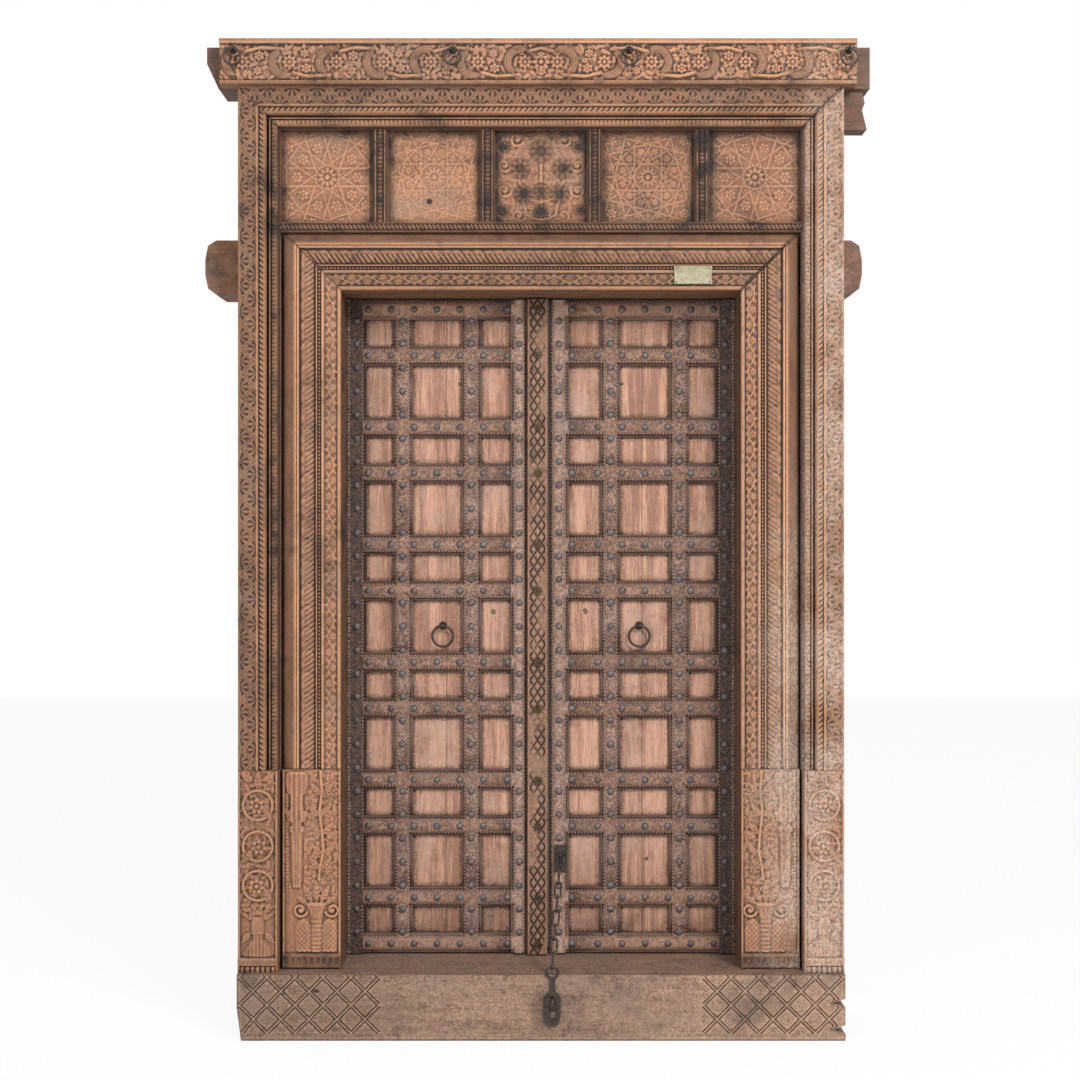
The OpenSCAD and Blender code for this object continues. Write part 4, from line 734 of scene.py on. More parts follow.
def inner_carving(u, s):
    """Height of the inner moulding at a distance u from its outer edge and s along it."""
    pits = 0.55 * np.cos(2 * np.pi * (s / 6.5 + np.abs(saw(u / 13)) * 2.2))
    slope = -22 * (1 - u / 30) + pits * (u > 3)
    v = (u - 41) / 43
    barrel = -7 + 7 * np.sin(np.pi * np.clip(v, 0, 1))
    arch = 1 - (2 * v - 1) ** 2
    scale = (s / LEAF_PITCH - 0.42 * arch) % 1
    lap = 1.4 * scale**1.5 - 1.2 * bump(saw(scale), 0.06)
    ridges = 1.5 * np.cos(2 * np.pi * (s / RIDGE_PITCH - 2.3 * v)) * smooth(v, 0.3, 0.42)
    scallop = np.hypot(saw(s / (2 * RIDGE_PITCH)) * 2 * RIDGE_PITCH, 43 * (v - 0.3))
    leaves = barrel + lap + ridges + 1.6 * bump(scallop, 12.5) * (v < 0.32) - 3.2
    bead = np.sqrt(np.clip(1 - ((u - 92.5) / 5.5) ** 2, 0, 1))
    beads = -12 + 7.5 * bead * np.abs(np.sin(np.pi * s / SMALL_BEAD_PITCH)) ** 0.6
    turn = s / VINE_PITCH
    mid = u - 122
    h = bump((mid - 8 * np.sin(2 * np.pi * turn)) * 0.85, 2.1)
    for side in (-1, 1):
        along = saw(turn - 0.25 * side) * VINE_PITCH
        h = np.maximum(h, bloom(mid + 4 * side, along, 10.5, 6))
        for lean in (-1, 1):
            dx, dz = (mid - 9 * side) * side, (along - 17 * lean) * lean
            h = np.maximum(h, 0.9 * leaf(dx, dz, (-9, -9), (5, 7), 5.5, 3))
        h = np.maximum(h, 0.8 * bloom(mid - 12 * side, along, 5.0, 5))
    vine = -4 + 4 * h
    pick = [u < edge for edge in INNER_BREAKS[1:-1]]
    flat = 0 * u
    return np.select(pick, [slope, flat, flat - 3, flat, leaves, flat, beads, flat, flat - 1, vine], flat)


SOCKET = 15.0
SOCKET_D, UPPER_SOCKET_D = 34.0, 44.0


def socketed(timber, low, high, sockets, depth, carve, stain):
    """A beam with a square socket at each place along x, open at the top for depth > 0, else below."""
    rows = [(low[1], -SOCKET), (-SOCKET, SOCKET), (SOCKET, high[1])]
    for row, (y0, y1) in enumerate(rows):
        cuts = [low[0], high[0]]
        if row == 1:
            cuts[1:1] = [place + edge * SOCKET for place in sockets for edge in (-1, 1)]
        for i, (x0, x1) in enumerate(zip(cuts[:-1], cuts[1:])):
            z0, z1 = low[2], high[2]
            if i % 2 == 1:
                z0, z1 = (z0, z1 - depth) if depth > 0 else (z0 - depth, z1)
            timber.block((x0, y0, z0), (x1, y1, z1), carve, stain)


swings = [joint for joint in frame["joints"] if joint["name"].endswith("leaf_swing")]
pivot_x = sorted(joint["pos_m"][0] / MM for joint in swings)
inner_low, inner_high = box_mm("inner_lintel")
INNER_FACE = inner_low[1]
Z_SOFFIT, Z_INNER = inner_low[2], inner_high[2]
INNER_HALF = box_mm("inner_post_right")[1][0]
INNER_MITRE = INNER_FACE + INNER_FRONT_T
INNER_BACK = box_mm("inner_post_left")[1][1]
print("inner frame face at", INNER_FACE, "mm")

# %% [markdown]
# ## Bases of the inner posts
# A fluted vase with two volutes stands on a dark plinth. A palm of leaves and fruit rises from it
# beside a small pilaster on the outer side.


# %% Inner base
COLUMN_Z = [206, 222, 300, 338, 346, 348, 360, 362, 372, 374, 398, 402, 412, 440, 446, 470, 492, 500]
COLUMN_HALF = [10, 14, 15, 16, 16, 21, 21, 13, 14, 24, 31, 20, 17, 18, 25, 31, 30, 22]


def inner_base(x, z):
    """Relief of the inner base: x towards the opening from the middle, z from the foot."""
    c = x - 12
    neck = turned(c, z, [128, 140, 160], [15, 17, 24]) * (0.6 + 0.4 * np.abs(np.cos(np.pi * c / 6.5)))
    rim = turned(c, z, [159, 161, 166, 168], [20, 26, 26, 20])
    core = turned(c, z, [44, 60, 128, 130], [13, 14, 15, 13]) * (0.8 + 0.2 * np.cos(2 * np.pi * z / 11))
    h = np.maximum.reduce([neck, rim, core])
    for side in (-1, 1):
        d = c * side
        arch = turned(d - 33, z, [44, 96, 112, 122, 129], [20, 22, 19, 13, 2])
        seeds = 0.72 + 0.28 * np.cos(2 * np.pi * d / 12) * np.cos(2 * np.pi * z / 13)
        h = np.maximum(h, arch * seeds)
        h = np.maximum(h, scroll(d, z, (41, 150), 19, 200, 432, 3.6))
        h = np.maximum(h, leaf(d, z, (24, 166), (52, 186), 9))
        h = np.maximum(h, leaf(d, z, (10, 168), (34, 214), 11))
    h = np.maximum(h, leaf(c, z, (0, 168), (0, 226), 12))
    column = x + 38
    half = np.interp(z, COLUMN_Z, COLUMN_HALF)
    shaft = np.clip(1 - (column / half) ** 6, 0, 1) * ((z > COLUMN_Z[0]) & (z < COLUMN_Z[-1]))
    fluted = 0.84 + 0.16 * np.cos(2 * np.pi * column / np.where(z < 346, 7.5, 12.5))
    h = np.maximum(h, shaft * fluted)
    clear = smooth(np.abs(column) - half, 1, 6)
    trunk = [(18, 226), (22, 262), (30, 300), (26, 350), (20, 400), (26, 450), (22, 500)]
    h = np.maximum(h, stroke(x, z, trunk, 4.0))
    for i, (tx, tz) in enumerate(trunk[1:-1]):
        for side in (-1, 1):
            h = np.maximum(h, leaf(x, z, (tx, tz - 12), (tx + 30 * side, tz + 22 - 8 * (i % 2)), 10))
        side = 1 if i % 2 == 0 else -1
        h = np.maximum(h, bloom(x - tx - 21 * side, z - tz + 12, 11, 7))
    for centre in ((62, 285), (60, 345), (62, 425), (-66, 300), (-66, 400)):
        h = np.maximum(h, 0.9 * bloom(x - centre[0], z - centre[1], 9, 5))
    berries = 0.7 * np.abs(np.cos(np.pi * x / 9) * np.cos(np.pi * z / 9))
    h = np.maximum(h, clear * berries * smooth(z, 180, 215) * smooth(np.abs(x + 62), 12, 8))
    h = np.maximum(h, bump(np.abs(x) - 71, 3.5))
    fill = foliage(x, z, 15, 20, 12) * (z > 180) * (x > -18) * (x < 68)
    h = np.maximum(h, 0.62 * clear * fill)
    plinth = (z > 4) & (z < 40)
    dents = (np.abs(saw(x / 16)) < 0.3) * ((z > 14) & (z < 30))
    return BASE_RELIEF * np.clip(np.maximum(h, plinth * (0.85 - 0.35 * dents)), 0, 1)


print("inner base: column of", len(COLUMN_Z), "sections")

# %% [markdown]
# ## Inner posts and lintel
# The posts stand on the sill, and the lintel's horns once ran into the wall. The sides that face the
# opening carry painted shade, and painted light makes the left post paler than the right one.

# %% Inner posts
# Painted shade on the reveals that face the opening.
REVEAL_SHADE = 0.7
# Both posts are made paler, and the left one more, as painted light.
POST_PALE_AND_PAINTED_LIGHT, BASE_PALE_AND_PAINTED_LIGHT = {-1: 0.3, 1: 0.16}, {-1: 0.14, 1: 0.05}
POST_TONE_MM = 2.8


def inner_post(side, name):
    """A post on the left for side -1 and on the right for side 1."""
    sill_top = box_mm("sill")[1][2]
    base_top = sill_top + BASE_H
    u = ticks(INNER_BREAKS, ACROSS)
    u = u if side < 0 else u[::-1]
    t = np.linspace(0, 1, round((Z_INNER - base_top) / ALONG))[:, None]
    z = base_top + t * (Z_INNER - u - base_top)
    x, uu = np.broadcast_to(side * (INNER_HALF - u), z.shape), np.broadcast_to(u, z.shape)
    timber = Timber()
    grime_and_shade = 0.25 * (uu < 30) + 0.25 * bump(uu - 66, 18) + 0.3 * bump(uu - 92, 9) + 0.1 * bump(uu - 122, 20)
    grime_and_shade = grime_and_shade + mitre(Z_INNER - uu - z, side)
    h = inner_carving(uu, z)
    timber.carved(x, z, h, INNER_FACE, INNER_MITRE, grime_and_shade, POST_PALE_AND_PAINTED_LIGHT[side], POST_TONE_MM, REVEAL_SHADE)
    x_base = np.sort(side * (INNER_HALF - ticks(np.array([0, 6, 142, 148.0]), ACROSS)))
    xb, zb = np.meshgrid(x_base, evenly(sill_top, base_top, BASE_STEP))
    middle = side * (INNER_HALF - INNER_W / 2)
    h = inner_base((middle - xb) * side, zb - sill_top)
    sooty_foot = 0.75 * (1 - smooth(zb, sill_top + 34, sill_top + 48))
    grime_and_shade = sooty_foot + 0.25 * bump((xb - middle) * side - 70, 18)
    timber.carved(xb, zb, h, INNER_FACE, INNER_MITRE, grime_and_shade, BASE_PALE_AND_PAINTED_LIGHT[side], BASE_TONE_MM, REVEAL_SHADE)
    edges = sorted((side * INNER_HALF, side * (INNER_HALF - INNER_W)))
    timber.block((edges[0], INNER_MITRE, sill_top), (edges[1], INNER_BACK, Z_SOFFIT), 0.0, REVEAL_SHADE)
    timber.piece(name + "_carved", frame_up, "frame", "frame_wood", name)


inner_post(-1, "inner_post_left")
inner_post(1, "inner_post_right")

# %% Inner lintel
LINTEL_TONE_MM = 2.6
HORN_TOP = Z_INNER - 10
u = ticks(INNER_BREAKS, ACROSS)[::-1, None]
t = np.linspace(0, 1, round(2 * INNER_HALF / ALONG))[None, :]
x = (2 * t - 1) * (INNER_HALF - u)
lintel = Timber()
grime_and_shade = 0.2 + 0.15 * (u < 30) + 0.2 * bump(u - 66, 18) + 0.3 * bump(u - 92, 9) + 0.2 * bump(u - 122, 20)
grime_and_shade = grime_and_shade + mitre(INNER_HALF - u - x, 1) + mitre(INNER_HALF - u + x, -1)
h = inner_carving(u + 0 * x, x + PHASE)
lintel.carved(x, Z_INNER - u + 0 * x, h, INNER_FACE, INNER_MITRE, grime_and_shade, 0.1, LINTEL_TONE_MM)
rear = (-INNER_HALF, INNER_MITRE, Z_SOFFIT), (INNER_HALF, inner_high[1], Z_INNER)
socketed(lintel, *rear, pivot_x, -UPPER_SOCKET_D - 1, 0.0, 0.3)
for end, root in ((inner_low[0], -INNER_HALF), (inner_high[0], INNER_HALF)):
    out = 1 if end > 0 else -1
    third = INNER_W / 3
    outline = [
        (root, Z_SOFFIT), (end - 2 * WORN * out, Z_SOFFIT), (end - WORN / 2 * out, Z_SOFFIT + WORN),
        (end, Z_SOFFIT + third), (end, HORN_TOP - third), (end - WORN / 2 * out, HORN_TOP - WORN),
        (end - 2 * WORN * out, HORN_TOP), (root, HORN_TOP),
    ]
    stain = 0.5 if out > 0 else 0.25
    lintel.prism(outline if out > 0 else outline[::-1], OUTER_BACK, inner_high[1], -0.1, stain)
lintel.piece("inner_lintel_carved", frame_across, "frame", "frame_wood", "inner_lintel")

# %% [markdown]
# ## Frieze
# Five panels sit between beaded mullions: ten-pointed stars at the ends, twelve-fold rosettes beside
# them and a bouquet in the middle. A star is the crossing of straight ribs at equal turns, so a rib is
# drawn once for each turn and the flowers fall in its cells.

# %% Frieze carving
PANEL_RELIEF = 6.0


def rib_net(x, z, turns, distance, half, offset=0.0):
    """Straight ribs at one distance from the middle, at equal turns."""
    h = np.zeros(x.shape)
    for i in range(turns):
        a = 2 * math.pi * (i + offset) / turns
        h = np.maximum(h, bump(x * math.sin(a) + z * math.cos(a) - distance, half))
    return h


def ring_of(x, z, count, radius, r, petals, turn=0.0):
    """Flowers in a ring."""
    h = np.zeros(x.shape)
    for i in range(count):
        a = 2 * math.pi * (i + turn) / count
        h = np.maximum(h, bloom(x - radius * math.sin(a), z - radius * math.cos(a), r, petals, a))
    return h


def star_panel(x, z):
    """Ten ribs that cross in a star, with flowers in the cells."""
    rho = np.hypot(x, z)
    ribs = np.maximum(rib_net(x, z, 10, 23, 2.4) * (rho > 30), rib_net(x, z, 10, 104, 2.4, 0.5))
    cells = np.maximum(ring_of(x, z, 10, 77, 15, 6, 0.5), ring_of(x, z, 10, 122, 14, 6, 0.5))
    return np.maximum.reduce([0.55 * ribs, 0.9 * cells, bloom(x, z, 27, 10), 0.5 * bump(rho - 29, 2)])


def rosette_panel(x, z):
    """Twelve ribs in two rings round a large flower."""
    rho = np.hypot(x, z)
    ribs = rib_net(x, z, 12, 34, 2.2) * (rho > 33) * (rho < 90)
    ribs = np.maximum(ribs, rib_net(x, z, 12, 0, 2.2) * (rho > 78))
    ribs = np.maximum(ribs, rib_net(x, z, 12, 82, 2.2, 0.5))
    cells = np.maximum(ring_of(x, z, 12, 66, 10, 6, 0.5), ring_of(x, z, 12, 98, 12, 6, 0.5))
    cells = np.maximum(cells, ring_of(x, z, 12, 132, 15, 6, 0.5))
    squares = 0.8 * ring_of(x, z, 12, 46, 6, 4)
    return np.maximum.reduce([0.55 * ribs, 0.85 * cells, bloom(x, z, 26, 12), squares])


BOUQUET = (
    (0, 66, 30), (54, 22, 27), (46, -44, 25), (0, -34, 20), (0, -88, 18), (92, 76, 15), (96, -84, 15)
)


def bouquet_panel(x, z):
    """Flowers on one stem, alike on both sides."""
    d = np.abs(x)
    h = np.maximum(stroke(d, z, [(0, -112), (0, 60)], 4), 0.7 * foliage(x, z, 17, 24, 13))
    for cx, cz, r in BOUQUET:
        h = np.maximum(h * smooth(np.hypot(d - cx, z - cz), r, r + 4), bloom(d - cx, z - cz, r, 8))
    for foot, tip in ((-108, (44, -66)), (-62, (58, -8))):
        h = np.maximum(h, stroke(d, z, [(0, foot), (20, foot + 2), (36, foot + 12), tip], 3.0))
    for centre in ((94, 30), (94, -34), (62, 96), (58, -98)):
        h = np.maximum(h, scroll(d, z, centre, 18, 200, 420, 3.2))
    return h


def bouquet_stain(x, z):
    """The flowers of the bouquet have gone dark."""
    dark = np.zeros(x.shape)
    for cx, cz, r in BOUQUET:
        dark = np.maximum(dark, bump(np.hypot(np.abs(x) - cx, z - cz), 1.15 * r))
    return 0.85 * dark + 0.15


panel_kinds = (star_panel, rosette_panel, bouquet_panel, rosette_panel, star_panel)
print("panels:", [kind.__name__ for kind in panel_kinds])

# %% [markdown]
# ## Panels, mullions and rail
# The relief of the panels is rubbed to about half its height. Painted shade darkens them under the
# lintel, beside the mullions and less along the foot. The bouquet is the darkest panel, and the second one
# has a knot.

# %% Frieze panels
TONGUE = 6.0
RUBBED_SHARE = 0.55
KNOT_PANEL, KNOT = 1, (-12.0, -62.0)
PANEL_PALE = (0.12, 0.32, 0.08, -0.02, 0.02)
mullion_1 = box_mm("frieze_mullion_1")
panel_top, panel_foot = mullion_1[1][2], mullion_1[0][2]
for i, kind in enumerate(panel_kinds):
    name = f"frieze_panel_{i + 1}"
    low, high = box_mm(name)
    left = low[0] + (TONGUE if i > 0 else 0)
    right = high[0] - (TONGUE if i < len(panel_kinds) - 1 else 0)
    x, z = np.meshgrid(evenly(left, right, 2.3), evenly(panel_foot, panel_top, 2.3))
    mx, mz = x - (left + right) / 2, z - (panel_foot + panel_top) / 2
    half = (right - left) / 2
    from_edge = half - np.maximum(np.abs(mx), np.abs(mz))
    h = RUBBED_SHARE * PANEL_RELIEF * np.clip(kind(mx, mz) * smooth(from_edge, 2, 9), 0, 1)
    # Painted shade beside the mullions, along the top and, half as strong, along the foot.
    shaded_side, shaded_top = smooth(np.abs(mx), half - 30, half), smooth(mz, half - 34, half)
    edge = shaded_side + shaded_top + 0.5 * smooth(-mz, half - 20, half)
    stain = 0.85 * np.clip(edge, 0, 1) + (bouquet_stain(mx, mz) if kind is bouquet_panel else 0)
    if i == KNOT_PANEL:
        stain = np.maximum(stain, 2 * bump(np.hypot(mx - KNOT[0], mz - KNOT[1]), 9))
    timber = Timber()
    timber.carved(x, z, h, low[1] + PANEL_RELIEF, high[1], stain, PANEL_PALE[i])
    timber.piece(name + "_carved", frame_across, "frame", "frame_wood", name)

# %% Frieze mullions
ROPE_D = 8.0
MULLION_STAIN = (0.6, 0.74, 0.8, 0.7)
for i, mullion_stain in enumerate(MULLION_STAIN):
    name = f"frieze_mullion_{i + 1}"
    low, high = box_mm(name)
    x, z = np.meshgrid(evenly(low[0], high[0], 2.0), evenly(low[2], high[2], 2.4))
    v = x - (low[0] + high[0]) / 2
    bead = np.sqrt(np.clip(1 - (v / 7) ** 2, 0, 1)) * np.abs(np.sin(np.pi * z / BEAD_PITCH)) ** 0.5
    side_fillet = bump(np.abs(v) - 12, 2.6)
    timber = Timber()
    h = ROPE_D * (np.maximum(bead, side_fillet) - 1)
    timber.carved(x, z, h, low[1], high[1], mullion_stain + 0.2 * bump(v, 10))
    timber.piece(name + "_carved", frame_up, "frame", "frame_wood", name)

# %% Frieze rail
RAIL_STAIN = 0.72
low, high = box_mm("frieze_rail")
x, z = np.meshgrid(evenly(low[0], high[0], 2.4), evenly(low[2], high[2], 1.8))
v = z - (low[2] + high[2]) / 2
rope = np.sqrt(np.clip(1 - (v / 8) ** 2, 0, 1)) * np.abs(np.sin(np.pi * (x / BEAD_PITCH + v / 20))) ** 0.5
timber = Timber()
h = ROPE_D * (np.maximum(rope, bump(np.abs(v) - 10.5, 1.6)) - 1)
timber.carved(x, z, h, low[1], high[1], RAIL_STAIN)
timber.piece("frieze_rail_carved", frame_across, "frame", "frame_wood", "frieze_rail")

# %% [markdown]
# ## Fascia
# A vine runs out from the middle of the fascia to both sides. A broad curled leaf stands at each of its
# bends and leans to and fro, and flowers fill the bays between the leaves.

# %% Fascia
FASCIA_RELIEF = 6.0
FASCIA_CAP, FASCIA_FOOT = 12.0, 9.0
SCROLL_PITCH, FIRST_SCROLL, SCROLLS = 118.0, 50.5, 7
CURL_R, CURL_W = 33.0, 12.0
BAY_FLOWERS = ((10, 0, 19, 8), (52, 16, 14, 6), (48, -22, 12, 6))
STEM, STEM_W = [(19, 27), (0.5 * SCROLL_PITCH, 36), (SCROLL_PITCH - 8, 32)], 5.5
RING_SEAT_R = 14.0
low, high = box_mm("top_fascia")
field_foot, field_top = low[2] + FASCIA_FOOT, high[2] - FASCIA_CAP
x, z = np.meshgrid(
    evenly(low[0], high[0], 2.6), ticks(np.array([low[2], field_foot, field_top, high[2]]), 2.4)
)
v = z - (field_foot + field_top) / 2
h = 0.45 * foliage(x, v, 17, 24, 14)
stain = np.zeros(x.shape)
for k in range(SCROLLS):
    lean = 1 if k % 2 == 0 else -1
    d, up = FIRST_SCROLL + SCROLL_PITCH * k - np.abs(x), v * lean
    rho, angle = np.hypot(d, up), np.degrees(np.arctan2(up, d)) % 360
    arc = smooth(angle, 55, 100) * (1 - smooth(angle, 220, 255))
    curl = bump((rho - CURL_R) / (0.35 + 0.65 * arc), CURL_W) * (arc > 0)
    h = np.where(curl > 0, curl * (0.72 + 0.28 * np.cos(2 * np.pi * (rho - CURL_R) / 6.5)), h)
    stain = np.maximum(stain, curl > 0.1)
    stem = stroke(d, up, STEM, STEM_W)
    h = np.maximum(h * (stem == 0), stem)
    for cx, cz, r, petals in BAY_FLOWERS:
        cleared = smooth(np.hypot(d - cx, up - cz), r - 1, r + 3)
        h = np.maximum(h * cleared, bloom(d - cx, up - cz, r, petals))
h = np.maximum(h, bloom(x, v, 24, 8))
h = FASCIA_RELIEF * np.clip(h, 0, 1) - 0.6 * (h < 0.1)
flutes = 0.8 * (np.abs(saw((z - high[2]) / 5.5)) < 0.12)
h = np.where((z > field_top) | (z < field_foot), FASCIA_RELIEF - flutes, h)
for ring in range(1, 5):
    eye_low, eye_high = box_mm(f"top_ring_{ring}")
    seat = np.hypot(x - (eye_low[0] + eye_high[0]) / 2, z - eye_high[2] + 3) < RING_SEAT_R
    h = np.where(seat, FASCIA_RELIEF, h)
stain = 0.06 + 0.36 * stain + 0.4 * (z < field_foot)
timber = Timber()
timber.carved(x, z, h, low[1] + FASCIA_RELIEF, high[1], stain, 0.15)
timber.piece("top_fascia_carved", frame_across, "frame", "frame_wood", "top_fascia")

# %% [markdown]
# ## Sill
# Feet have worn the middle of the sill plain. Its ends keep a lattice of double lines, and the right
# end has split. The pivots of the leaves turn in sockets, which stay open in the rear of the beam.

# %% Lines and wear of the sill
SILL_RELIEF = 4.0
DIAMOND, DIAMONDS = 70.0, 5
SILL_MARGIN, SILL_FOOT = 6.0, 19.0
NET_STEP, PLAIN_STEP = DIAMOND / 34, 4.5
CUT, LINE_RIDGE = 5.2, 2.0
sill_low, sill_high = box_mm("sill")
sill_h = sill_high[2] - sill_low[2]
net_l = DIAMOND * DIAMONDS
starts = (sill_low[0] + SILL_MARGIN, sill_high[0] - SILL_MARGIN - net_l)
runs = [start + NET_STEP * np.arange(round(net_l / NET_STEP) + 1) for start in starts]
plain_from, plain_to = runs[0][-1], runs[1][0]
between = evenly(plain_from + 4, plain_to - 4, PLAIN_STEP)
columns = np.concatenate([sill_low[:1], runs[0], between, runs[1], sill_high[:1]])
levels = SILL_FOOT + NET_STEP * np.arange(-9, 71)
levels = np.concatenate([[0.0], levels[levels > 1], [sill_h]])
x, z = np.meshgrid(columns, levels)
net = np.zeros(x.shape)
for start, flowery in zip(starts, (0.0, 1.0)):
    inside = (x > start - 1) & (x < start + net_l + 1) & (z > SILL_FOOT - 1)
    a, b = (x - start) / DIAMOND, (z - SILL_FOOT) / DIAMOND
    off = np.minimum(np.abs(saw(a - b)), np.abs(saw(a + b))) * DIAMOND / math.sqrt(2)
    ridge = 1 - smooth(off, LINE_RIDGE - 0.8, LINE_RIDGE + 0.6)
    raised = np.maximum(smooth(off, CUT - 1, CUT + 0.5), ridge)
    for shift in (0.0, 0.5):
        petals = bloom(saw(a + 0.5 + shift) * DIAMOND, saw(b + shift) * DIAMOND, 17, 8, 0.4)
        raised = raised - 0.35 * flowery * (petals > 0.02) * (1 - petals)
    net = np.where(inside, raised, net)
dents = blur(blur(rng.normal(size=x.shape), 3), 3)
dents = np.clip(dents / dents.std(), -2, 2)
middle = (x > plain_from + 2) & (x < plain_to - 2)
faint = foliage(x * middle, z, 24, 30, 15) * middle * smooth(dents, -0.5, 1.0)
worn_in = np.minimum(smooth(x, plain_from, plain_from + 60), smooth(-x, -plain_to, 60 - plain_to))
trodden = SILL_RELIEF - worn_in * (1.4 - 0.5 * dents - 0.6 * faint)
h = np.where(middle, trodden, SILL_RELIEF * net + 0.15 * dents)
h = np.where(z < SILL_FOOT - 1, 0.7 * SILL_RELIEF + 0.3 * dents, h)
h = np.where(z < 3, 0, np.minimum(h, SILL_RELIEF))
print("sill:", h.shape, "points")

# %% [markdown]
# ## Ends and stains of the sill
# The right end has two splits and the left corner is chipped, so the outer points of the face move in.
# A patch in the middle by the iron hasp is darker, and feet have rubbed two pale patches. Painted light
# makes the right end paler, and painted shade makes the left end darker.

# %% Sill
SPLIT_L, SPLIT_H, SPLIT_SHARES, CHIP = 30.0, 22.0, (0.17, 0.57), 11.0
REACH = 60.0
SILL_FACE = sill_low[1] + SILL_RELIEF
SPLIT_BACK = SILL_FACE + 0.62 * (sill_high[1] - SILL_FACE)


def spot(x, z, centre, halves):
    """A soft patch, 1 in its middle."""
    return bump((x - centre[0]) / halves[0], 1) * bump((z - centre[1]) / halves[1], 1)


patch = np.maximum(spot(x, z, (205, 78), (100, 34)), 0.7 * spot(x, z, (-130, 80), (150, 40)))
# Painted light makes the right end paler.
pale = 0.45 * patch + 0.4 * smooth(x, 150, 400)
# A dark patch in the middle, by the iron hasp.
hasp_patch = bump(np.hypot((x - 2) / 34, (z - 78) / 62), 1)
knot = bump(np.hypot((x + 562) / 2, z - 125), 5)
# Painted shade makes the left end darker.
stain = 0.12 + 0.2 * smooth(-x, 250, 450) + 0.6 * hasp_patch + 2 * knot
moved = np.zeros(z.shape)
for share in SPLIT_SHARES:
    moved = moved - SPLIT_L * np.clip(1 - np.abs(z - share * sill_h) / (SPLIT_H / 2), 0, 1)
chipped = CHIP * np.clip(1 - 2 * z / sill_h, 0, 1)
for edge, shift in ((sill_high[0], moved), (sill_low[0], chipped)):
    x = x + np.clip(1 - np.abs(x - edge) / REACH, 0, 1) * shift
sill = Timber()
sill.carved(x, z, h, SILL_FACE, SPLIT_BACK, stain, pale)
socketed(sill, (sill_low[0], SPLIT_BACK, 0), sill_high, pivot_x, SOCKET_D, 0.1, 0.2)
sill.piece("sill_carved", sill_wood, "frame", "frame_wood", "sill")
print("sockets at", pivot_x)

# %% [markdown]
# ## Leaves
# Wide planks carry a grid of moulded battens. The planks are drier and paler than the battens, and
# the hanging stiles stand in the shade of the posts and have gone dark. These solids are already
# right in form, so they keep their meshes and get a finish alone.


# %% Finish of the plain nodes
def dress(name, material):
    """Gives a node of the frame its finish."""
    made = frame["nodes"][name]
    if not made.material_slots:
        made.data.materials.append(material)
    for place in made.material_slots:
        place.material = material


FINISHES = {
    plank_wood: [f"{leaf_side}_{part}_plank" for leaf_side in LEAVES for part in ("outer", "inner")],
    stile_dark: ["left_hanging_stile", "right_hanging_stile"],
    beam_dark: ["top_beam"],
    star_brass: ["left_stars"],
    forged_iron: [f"{leaf_side}_pull_{part}" for leaf_side in LEAVES for part in ("staple", "ring")]
    + [f"top_ring_{ring}" for ring in range(1, 5)]
    + ["sill_staple", "top_staples", "chain_plate", "chain_links", "hasp"],
}
for material, names in FINISHES.items():
    for name in names:
        dress(name, material)
    print(material.name, "on", len(names), "nodes")

# %% [markdown]
# ## Section of the battens
# A joiner runs the same edge along every batten: a bead, a hollow and a slope up to the flat. Where
# two battens cross, the halved joint brings both faces flush. The higher of two sections is taken at
# each point, so the slopes meet on a mitre round every opening as they do on the door.

# %% Lattice of battens
BATTEN_T = 22.0
SECTION_IN = np.array([0.0, 3.0, 6.0, 12.0])
SECTION_H = np.array([9.0, 12.0, 9.0, BATTEN_T])
BATTEN_FACE, PLANK_FACE = (corner[1] for corner in box_mm("left_rails"))
LATTICE_TONE_MM = 16.0
UPRIGHTS = ("hanging_stile", "outer_muntin", "inner_muntin", "meeting_stile")


def section(inset):
    """Height of a moulded batten over the plank, at a distance inside its edge."""
    return np.where(inset < -0.01, 0.0, np.interp(inset, SECTION_IN, SECTION_H))


def across_ticks(low, high):
    """Places over the width of a batten, close together where its edge is moulded."""
    flat = np.linspace(low + SECTION_IN[-1], high - SECTION_IN[-1], 4)[1:-1]
    return np.concatenate([low + SECTION_IN, flat, (high - SECTION_IN)[::-1]])


def rail_ticks(level):
    """The same over the height of a rail."""
    return across_ticks(level - BATTEN_W / 2, level + BATTEN_W / 2)


def lattice(timber, leaf_side, columns, levels):
    """Adds a part of the grid of battens, whose faces run into each other where they cross."""
    x, z = np.meshgrid(columns, levels)
    spans = [box_mm(f"{leaf_side}_{part}") for part in UPRIGHTS]
    stile_1, *muntins, stile_2 = (np.minimum(x - low[0], high[0] - x) for low, high in spans)
    between = (z > rail_z[0]) & (z < rail_z[-1])
    inset_x = np.max([stile_1, stile_2] + [np.where(between, inset, -1.0) for inset in muntins], 0)
    inset_z = np.max([BATTEN_W / 2 - np.abs(z - level) for level in rail_z], 0)
    ends = [(low[0] + high[0]) / 2 for low, high in (spans[0], spans[-1])]
    inset_z = np.where((x > min(ends)) & (x < max(ends)), inset_z, -1.0)
    h = np.maximum(section(inset_x), section(inset_z)) - BATTEN_T
    inset = np.maximum(inset_x, inset_z)
    # Painted shade at the foot of each slope and on the right leaf from the second rail up. Painted light
    # lifts the bottom rail and the top rail under the lintel.
    low_edge = 1 - smooth(inset, 4, 10)
    shade = 0.1 * (x > 0) * smooth(z, rail_z[1], rail_z[2])
    grime_and_shade = 0.12 * low_edge + 0.25 * bump(inset - 11, 2.5) + shade
    painted_light_foot = 0.4 * (1 - smooth(z, rail_z[0] + 30, rail_z[1] + 40))
    painted_light_top = 0.7 * smooth(z, rail_z[-1] - 40, rail_z[-1] - 20)
    pale = 0.5 * low_edge + painted_light_foot + painted_light_top
    timber.carved(x, z, h, BATTEN_FACE, PLANK_FACE, grime_and_shade, pale, LATTICE_TONE_MM)


